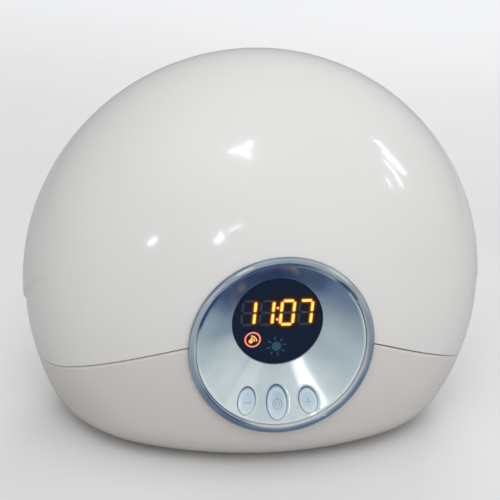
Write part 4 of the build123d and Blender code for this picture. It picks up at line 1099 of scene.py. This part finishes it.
# The dish's own silver-blue paint, carrying painted reflection and shade: navy for the painted dark
# reflection near the top, near white for painted highlights
dishPaintAndPaintedReflection = shadedFinish(
    "silverBluePaintWithPaintedReflection",
    [(0.0, (0.02, 0.05, 0.25)), (0.3, (0.12, 0.20, 0.38)), (0.6, (0.38, 0.48, 0.56)),
     (0.85, (0.58, 0.70, 0.74)), (1.0, (0.86, 0.94, 0.95))],
    (0.15, 0.22), **{"Metallic": 0.38, "Specular IOR Level": 0.25},
)
windowTint = plainFinish(
    "smokedWindow", (0.30, 0.33, 0.40), 0.02, 60.0, (0.0, 0.015), transmission=1.0, ior=1.24, bumpDepth=0)
# The keys' own blue tint, carrying their painted light and shade
keyTintAndPaintedShade = shadedFinish(
    "frostedKeyPlasticWithPaintedShade",
    [(0.0, (0.12, 0.18, 0.30)), (0.35, (0.34, 0.42, 0.54)), (0.6, (0.54, 0.64, 0.72)),
     (0.85, (0.70, 0.78, 0.83)), (1.0, (0.86, 0.90, 0.92))],
    (0.12, 0.2), **{"Coat Weight": 0.7, "Coat Roughness": 0.04, "Subsurface Weight": 0.1},
)
litAmber = glowing(
    "litAmber", [(0.0, (1.0, 0.86, 0.20)), (0.65, (1.0, 0.68, 0.06)), (1.0, (1.0, 0.24, 0.0))], 3.6)
litRed = glowing(
    "litRed", [(0.0, (1.0, 0.50, 0.34)), (0.5, (1.0, 0.22, 0.10)), (1.0, (0.9, 0.04, 0.01))], 3.2)
litYellow = glowing(
    "litYellow", [(0.0, (1.0, 0.86, 0.30)), (0.6, (1.0, 0.50, 0.06)), (1.0, (1.0, 0.16, 0.02))], 3.4)
litPink = glowing(
    "litPink", [(0.0, (1.0, 0.62, 0.40)), (0.6, (1.0, 0.34, 0.14)), (1.0, (1.0, 0.10, 0.03))], 3.4)
# Unlit bars and the unlit sun sign glow faintly: a painted glow that lets them show behind the smoked window
unlitGlowGrey = glowing("unlitGreyPaintedGlow", [(0.0, (0.085, 0.10, 0.125)), (1.0, (0.06, 0.08, 0.105))], 0.9)
unlitGlowSun = glowing("unlitSunPaintedGlow", [(0.0, (0.09, 0.20, 0.26)), (1.0, (0.07, 0.16, 0.21))], 0.9)
# The film behind the window glows: a faint painted navy glow all over, and a painted orange glow that spreads
# round each lit bar
faceGlow = glowing(
    "displayFilmPaintedGlow",
    [(0.0, (0.006, 0.022, 0.052)), (0.25, (0.03, 0.012, 0.006)), (0.7, (0.30, 0.08, 0.01)),
     (1.0, (0.8, 0.26, 0.02))],
    1.0, "glow",
)
setOn(faceGlow.node_tree.nodes["Principled BSDF"], **{"Specular IOR Level": 0.0})

litBars, darkBars = digitBars()
ringBars, innerBars = alarmIcon()
place(makeBezelRing(), ringPlasticAndPaintedLight, "bezel", "bezel_ring")
place(makeDishPanel(), dishPaintAndPaintedReflection, "panel", "control_panel")
place(makeWindow(), windowTint, "window", "display_window")
place(makeBars("litSegments", litBars), litAmber, "lit_segment", "lit_segments")
place(makeBars("colonDots", colonDots()), litPink, "lit_segment", "lit_segments")
place(makeBars("unlitSegments", darkBars), unlitGlowGrey, "unlit_segment", "unlit_segments")
place(makeBars("alarmRing", ringBars), litRed, "lit_segment")
place(makeBars("alarmSign", innerBars), litYellow, "lit_segment")
place(makeBars("sunSign", sunIcon()), unlitGlowSun, "unlit_segment")
place(makeGlowSheet(litBars), faceGlow, "display")
for name in keyLook:
    place(makeKey(name), keyTintAndPaintedShade, "key", "button_" + name, body="key_" + name)
print("front pieces made")

# Openings at the back and under the floor

backLook = {
    "setKeys": [(-12.0, -18.0), (12.0, -18.0)], "setHole": 3.85, "jack": (0.0, -29.0), "jackHole": 5.2,
    "speaker": (50.0, -18.0), "grilleHole": 1.0, "grillePitch": 4.2, "grilleRings": 3,
    "grilleReach": (-3.4, 3.0), "ventCount": 5, "ventUp": 58.0, "ventPitch": 6.0, "ventLength": 68.0,
    "ventShorter": 8.0, "ventHeight": 2.4, "ventReach": (14.0, 60.0), "keyReach": (36.0, 60.0),
    "screwOut": 94.0, "screwAngles": (14.0, 40.0, 140.0, 166.0), "boss": 4.2, "well": 2.9, "pilot": 1.25,
    "grip": 6.0, "wellReach": 40.0, "deepest": 60.0, "feet": (42.0, 18.0), "footHole": 6.7, "footDepth": 1.0,
}


def onBack(u, v, depth):
    # A point behind the widest section: centre - u sideways + v up - depth forwards
    u, v, depth = np.broadcast_arrays(np.asarray(u, float), v, depth)
    f = bodyForm
    return f["centre"] - u[..., None] * sideways + v[..., None] * f["up"] - depth[..., None] * f["forward"]


def roundCutter(at, radius, low, high):
    # A round column along the body's axis, between two depths
    t = circle(40)
    u, v = at[0] + radius * np.cos(t), at[1] + radius * np.sin(t)
    return columnOf(onBack(u, v, low), onBack(u, v, high))


def slotCutter(up, length, height, low, high):
    # A slot with round ends: half circles at both ends of a level line
    t = circle(48)
    u = height / 2 * np.cos(t) + np.sign(np.cos(t)) * (length - height) / 2
    v = up + height / 2 * np.sin(t)
    return columnOf(onBack(u, v, low), onBack(u, v, high))


def grilleCutters():
    # Rings of small holes along the wall's normal at the speaker, six more in each ring
    f, look = bodyForm, backLook
    out, up = look["speaker"]
    ahead = f["backCapFront"] - math.sqrt(f["backCap"] ** 2 - out ** 2 - up ** 2)
    spot = f["centre"] + out * sideways + up * f["up"] + ahead * f["forward"]
    normal = domeArc(spot)[1]
    across = unit(np.cross(normal, [0.0, 0.0, 1.0]))
    above = np.cross(across, normal)
    low, high = look["grilleReach"]
    t, radius, spots = circle(20)[:, None], look["grilleHole"], [(0.0, 0.0)]
    for ring in range(1, look["grilleRings"] + 1):
        reach = ring * look["grillePitch"]
        spots += [(reach * math.cos(a), reach * math.sin(a)) for a in circle(6 * ring)]
    grids = []
    for a, b in spots:
        hole = spot + (a + radius * np.cos(t)) * across + (b + radius * np.sin(t)) * above
        grids.append(columnOf(hole + low * normal, hole + high * normal))
    return grids


def footCutters():
    # Four upright columns through the floor
    look, t = backLook, circle(48)
    grids = []
    for x, y in ((-1, -1), (-1, 1), (1, -1), (1, 1)):
        u = x * look["feet"][0] + look["footHole"] * np.cos(t)
        v = y * look["feet"][1] + look["footHole"] * np.sin(t)
        low, high = -1.0 + 0 * t, bodyForm["floorUp"] + look["footDepth"] + 0 * t
        grids.append(columnOf(np.stack([u, v, low], -1), np.stack([u, v, high], -1)))
    return grids


def screwSpots():
    # Places on a circle about the body's axis
    turns = np.radians(backLook["screwAngles"])
    return [(backLook["screwOut"] * math.cos(t), backLook["screwOut"] * math.sin(t)) for t in turns]


def makeScrewWells():
    # Sleeves from the parting line to the wall, each cut by the wall's middle, with a seat for the screw head
    f, look, t = bodyForm, backLook, circle(48)
    front, grids = f["partBack"] + f["seamGap"], []
    for a, b in screwSpots():
        sleeve = lambda radius, depth: onBack(a + radius * np.cos(t), b + radius * np.sin(t), depth)
        inWall = lambda radius: lambda depth: domeArc(sleeve(radius, depth))[0] + f["wall"] / 2
        toWall = lambda radius: bisect(inWall(radius), 0 * t, look["deepest"] + 0 * t)
        rows = [
            (look["pilot"], front), (look["boss"], front), (look["boss"], toWall(look["boss"])),
            (look["well"], toWall(look["well"])), (look["well"], front + look["grip"]),
            (look["pilot"], front + look["grip"]),
        ]
        grids.append(np.stack([sleeve(*row) for row in rows]))
    return addMesh("screwWells", *joinGrids(grids, loopRows=True))


def openBack():
    # Key holes, inlet, grille and foot seats in the base; screw wells and vents in the housing
    look, f = backLook, bodyForm
    holes = [(at, look["setHole"]) for at in look["setKeys"]] + [(look["jack"], look["jackHole"])]
    cutters = [roundCutter(at, radius, *look["keyReach"]) for at, radius in holes]
    cutInto(base, cutters + grilleCutters() + footCutters())
    seat = f["partBack"] + f["seamGap"] + look["grip"]
    cutters = [roundCutter(at, look["well"], seat, look["wellReach"]) for at in screwSpots()]
    for row in range(look["ventCount"]):
        up, length = look["ventUp"] + row * look["ventPitch"], look["ventLength"] - row * look["ventShorter"]
        cutters.append(slotCutter(up, length, look["ventHeight"], *look["ventReach"]))
    cutInto(housing, cutters)


openBack()
place(makeScrewWells(), housingPlastic, "housing")
print("back openings cut")

# Finishes for the solids that keep their shape: slot, name, colour, its spread and grain, roughness, the rest
solidFinishes = [
    ("display", "displayFace", (0.01, 0.01, 0.015), 0.02, 60.0, (0.4, 0.5), {}),
    ("plunger", "plungerPlastic", (0.05, 0.05, 0.05), 0.05, 60.0, (0.35, 0.5), {}),
    ("switch", "switchPlastic", (0.08, 0.08, 0.085), 0.05, 60.0, (0.35, 0.5), {}),
    ("board", "boardGreen", (0.04, 0.18, 0.09), 0.12, 300.0, (0.3, 0.45), {"coat": 0.3}),
    ("screw", "screwSteel", (0.60, 0.60, 0.61), 0.06, 400.0, (0.25, 0.4), {"metallic": 1.0}),
    ("shroud", "shroudPlastic", (0.03, 0.03, 0.033), 0.05, 80.0, (0.5, 0.65), {}),
    ("reflector", "reflectorWhite", (0.82, 0.82, 0.81), 0.02, 40.0, (0.5, 0.6), {}),
    ("led_board", "ledBoardWhite", (0.8, 0.81, 0.82), 0.03, 200.0, (0.3, 0.4), {}),
    ("led", "ledPhosphor", (0.9, 0.78, 0.25), 0.06, 500.0, (0.3, 0.45), {}),
    ("heat_sink", "heatSinkAluminium", (0.68, 0.69, 0.70), 0.05, 200.0, (0.35, 0.5), {"metallic": 1.0}),
    ("capacitor", "capacitorSleeve", (0.04, 0.05, 0.14), 0.05, 200.0, (0.2, 0.3), {}),
    ("choke", "chokeWinding", (0.30, 0.13, 0.05), 0.15, 700.0, (0.35, 0.5), {}),
    ("holder", "holderPlastic", (0.03, 0.03, 0.03), 0.05, 100.0, (0.4, 0.55), {}),
    ("cell", "cellSteel", (0.72, 0.72, 0.71), 0.04, 300.0, (0.2, 0.3), {"metallic": 1.0}),
    ("ribbon", "ribbonGrey", (0.55, 0.54, 0.51), 0.05, 300.0, (0.45, 0.55), {}),
    ("connector", "connectorIvory", (0.75, 0.72, 0.64), 0.04, 200.0, (0.4, 0.5), {}),
    ("jack", "jackBlack", (0.02, 0.02, 0.02), 0.05, 150.0, (0.3, 0.45), {}),
    ("set_key", "setKeyPlastic", (0.55, 0.54, 0.52), 0.03, 150.0, (0.3, 0.4), {}),
    ("basket", "basketPaint", (0.08, 0.08, 0.085), 0.05, 150.0, (0.35, 0.5), {}),
    ("magnet", "magnetFerrite", (0.06, 0.06, 0.065), 0.08, 300.0, (0.5, 0.6), {}),
    ("cone", "conePaper", (0.03, 0.03, 0.03), 0.15, 600.0, (0.7, 0.85), {}),
    ("feet", "footRubber", (0.035, 0.035, 0.037), 0.08, 300.0, (0.65, 0.8), {}),
]
slotFinish = {slot: plainFinish(*finish, **rest) for slot, *finish, rest in solidFinishes}
slotFinish.update(
    diffuser=diffuserPlastic, base=basePlastic, housing=housingPlastic, bezel=ringPlasticAndPaintedLight, panel=dishPaintAndPaintedReflection,
    window=windowTint, lit_segment=litAmber, unlit_segment=unlitGlowGrey, key=keyTintAndPaintedShade,
)
for part in frame["record"]["subparts"]:
    solid = nodes[part["node"]]
    solid.data.materials.clear()
    solid.data.materials.append(slotFinish[part["material_slot"]])
print("finishes given to %d solids" % len(nodes))

# Studio: camera, lights, floor
studio = {
    "target": (-0.00253, 0.00817, 0.07312), "distance": 0.44, "azimuth": 11.08, "elevation": 22.21,
    "roll": 3.68, "lens": 72.31, "lampTarget": (0, 0, 0.08), "backdrop": (0.90, 0.91, 0.925, 1.0),
    "worldLight": 0.385, "floorSide": 3.0, "floorFade": (0.25, 1.7), "floorGrain": 6.0, "floorRough": 0.7,
    "seenFloor": (0.82, 0.85), "floorBounce": (0.54, 0.56),
}


def placed(thing, columns, spot):
    # The thing stands at the spot, with its own three axes along the columns
    thing.matrix_world = Matrix.Translation(Vector(spot)) @ Matrix(columns).transposed().to_4x4()


def addCamera():
    # It stands back from the target by the distance, at the azimuth and elevation, rolled about its view
    a, e, r = (math.radians(studio[k]) for k in ("azimuth", "elevation", "roll"))
    back = Vector((-math.sin(a) * math.cos(e), -math.cos(a) * math.cos(e), math.sin(e)))
    right = (-back).cross(Vector((0, 0, 1))).normalized()
    up = right.cross(-back)
    across, top = math.cos(r) * right + math.sin(r) * up, math.cos(r) * up - math.sin(r) * right
    data = bpy.data.cameras.new("camera")
    data.sensor_width, data.lens, data.clip_start = 36, studio["lens"], 0.01
    camera = linked("camera", data)
    placed(camera, (across, top, back), Vector(studio["target"]) + back * studio["distance"])
    bpy.context.scene.camera = camera


# Broad lamps light the body without being mirrored in it. Small ones give the glints, each on its own pieces.
lamps = {
    "keyLamp": {"at": (-0.3, -0.98, 1.2), "size": (0.9, 0.9), "power": 6.3, "colour": (1.0, 0.99, 0.97)},
    "fillLamp": {"at": (0.25, -1.2, 0.3), "size": (0.8, 0.5), "power": 1.9, "colour": (0.95, 0.97, 1.0)},
    "topLamp": {"at": (0.1, -0.45, 1.5), "sunAngle": 1.1, "power": 0.88},
    "backLamp": {"at": (0.5, 1.3, 0.9), "size": (0.9, 0.9), "power": 6.2},
    "dishLamp": {"at": (-0.36, -1.45, 0.74), "size": (0.06, 0.34), "power": 1.2, "only": "dish"},
}
litGroups = {
    "shell": ("diffuserDome", "baseShell", "rearHousing"),
    "dish": ("dishPanel", "bezelRing", "key_minus", "key_light", "key_plus"),
}


def lightOnly(lamp, groupName):
    # The lamp lights just the pieces of one group
    if groupName not in bpy.data.collections:
        group = bpy.data.collections.new(groupName)
        for piece in litGroups[groupName]:
            group.objects.link(bpy.data.objects[piece])
    lamp.light_linking.receiver_collection = bpy.data.collections[groupName]


def areaLight(name, size, power):
    # A rectangular light
    data = bpy.data.lights.new(name, "AREA")
    data.shape, data.size, data.size_y = "RECTANGLE", *size
    data.energy = power
    return data


def addLamp(name, at, power, size=None, colour=(1, 1, 1), sunAngle=None, only=None):
    # A rectangular lamp or a sun that looks at the body; only a lamp kept to its own pieces is mirrored
    if sunAngle:
        data = bpy.data.lights.new(name, "SUN")
        data.angle, data.energy = sunAngle, power
    else:
        data = areaLight(name, size, power)
    data.color = colour
    lamp = linked(name, data)
    lamp.location = at
    lamp.rotation_euler = (Vector(studio["lampTarget"]) - Vector(at)).to_track_quat("-Z", "Y").to_euler()
    lamp.visible_glossy = bool(only)
    if only:
        lightOnly(lamp, only)


# Glints: lines on the dome from (sideways, height) to (sideways, height), with their width and brightness
glintReach = 1.6
glints = [
    ((-21.4, 130.9), (-13.9, 132.9), 0.7, 26), ((-15.4, 131.5), (-13.0, 134.8), 0.7, 26),
    ((-17.3, 131.1), (-12.9, 129.6), 0.8, 26), ((-27.6, 100.7), (-23.9, 102.7), 0.8, 24),
    ((-25.0, 104.4), (-25.7, 100.1), 0.5, 22), ((-23.2, 103.8), (-16.9, 107.2), 0.25, 18),
    ((-51.1, 96.9), (-48.6, 99.7), 1.0, 22), ((37.4, 134.1), (40.3, 131.6), 1.6, 26),
    ((40.5, 130.3), (49.0, 122.0), 3.4, 22), ((40.2, 127.3), (47.7, 117.7), 1.8, 9),
    ((40.2, 121.9), (42.6, 117.6), 1.4, 7),
]


def mirroredAt(eye, side, up):
    # The dome's point at (side, up), and the eye's ray mirrored there: ray - 2 * (ray . normal) * normal
    front = -80.0
    y = float(bisect(lambda y: domeArc(np.array([side, float(y), up]))[0], bodyForm["centre"][1], front))
    point = np.array([side, y, up])
    normal, ray = domeArc(point)[1], unit(point - eye)
    return point * mm, ray - 2 * (ray @ normal) * normal


def addGlint(name, start, end, width, brightness):
    # A strip lamp whose mirror image on the dome is the line from start to end. Its power is its brightness
    # times pi times its area.
    eye = np.array(bpy.context.scene.camera.location) / mm
    (p0, d0), (p1, d1) = mirroredAt(eye, *start), mirroredAt(eye, *end)
    q0, q1 = p0 + glintReach * d0, p1 + glintReach * d1
    length = np.linalg.norm(q1 - q0)
    breadth = width * mm * length / np.linalg.norm(p1 - p0)
    lamp = linked(name, areaLight(name, (length, breadth), brightness * math.pi * length * breadth))
    away, along = Vector((q0 + q1 - p0 - p1) / 2).normalized(), Vector((q1 - q0) / length)
    across = away.cross(along).normalized()
    placed(lamp, (across.cross(away), across, away), (q0 + q1) / 2)
    lightOnly(lamp, "shell")


def greys(tree, tones):
    # Slow drift between two greys
    low, high = ((tone, tone, tone) for tone in tones)
    return rampOf(tree, noiseOf(tree, studio["floorGrain"]), [(0.3, low), (0.7, high)])


def addFloor():
    # A pale floor that fades into the backdrop's colour with distance, for the eye alone. Light that bounces
    # up from it comes from a darker tone.
    material, tree, shader = newMaterial("paleFloor")
    setOn(shader, Roughness=studio["floorRough"])
    path, where = addNode(tree, "ShaderNodeLightPath"), addNode(tree, "ShaderNodeTexCoord")
    tone = addNode(tree, "ShaderNodeMix", data_type="RGBA")
    away = addNode(tree, "ShaderNodeVectorMath", operation="LENGTH")
    fade = dict(zip(("From Min", "From Max"), studio["floorFade"]))
    faded = addNode(tree, "ShaderNodeMapRange", interpolation_type="SMOOTHSTEP", **fade)
    share = addNode(tree, "ShaderNodeMath", operation="MULTIPLY")
    paper = addNode(tree, "ShaderNodeEmission", Color=studio["backdrop"])
    joined = addNode(tree, "ShaderNodeMixShader")
    seen, surface = path.outputs["Is Camera Ray"], tree.nodes["Material Output"].inputs["Surface"]
    bounceColour, seenColour = tone.inputs[6], tone.inputs[7]
    wire(
        tree, (seen, tone.inputs["Factor"]), (greys(tree, studio["floorBounce"]), bounceColour),
        (greys(tree, studio["seenFloor"]), seenColour), (tone.outputs[2], shader.inputs["Base Color"]),
        (where.outputs["Object"], away.inputs[0]), (away.outputs["Value"], faded.inputs["Value"]),
        (faded.outputs["Result"], share.inputs[0]), (seen, share.inputs[1]),
        (share.outputs[0], joined.inputs[0]), (shader.outputs[0], joined.inputs[1]),
        (paper.outputs[0], joined.inputs[2]), (joined.outputs[0], surface),
    )
    side = studio["floorSide"] / mm
    corners = [(-side, -side, 0), (side, -side, 0), (side, side, 0), (-side, side, 0)]
    floor = addMesh("floor", corners, [(0, 1, 2, 3)], keepWinding=True)
    floor.data.materials.append(material)


def addWorld():
    # Even light all round; where the eye or a clear piece looks past the floor, the backdrop's full colour
    world = bpy.data.worlds.new("studioWorld")
    bpy.context.scene.world = world
    world.use_nodes = True
    tree = world.node_tree
    background = setOn(tree.nodes["Background"], Color=studio["backdrop"])
    path = addNode(tree, "ShaderNodeLightPath")
    mixed = addNode(tree, "ShaderNodeMix", data_type="FLOAT", A=studio["worldLight"], B=1.0)
    seen = addNode(tree, "ShaderNodeMath", operation="MAXIMUM")
    wire(
        tree, (path.outputs["Is Camera Ray"], seen.inputs[0]),
        (path.outputs["Is Transmission Ray"], seen.inputs[1]), (seen.outputs[0], mixed.inputs["Factor"]),
        (mixed.outputs["Result"], background.inputs["Strength"]),
    )


addCamera()
for lampName, lampLook in lamps.items():
    addLamp(lampName, **lampLook)
for index, glint in enumerate(glints):
    addGlint("glint%d" % index, *glint)
addFloor()
addWorld()
bpy.context.scene.view_settings.view_transform = "Standard"
print("studio set")
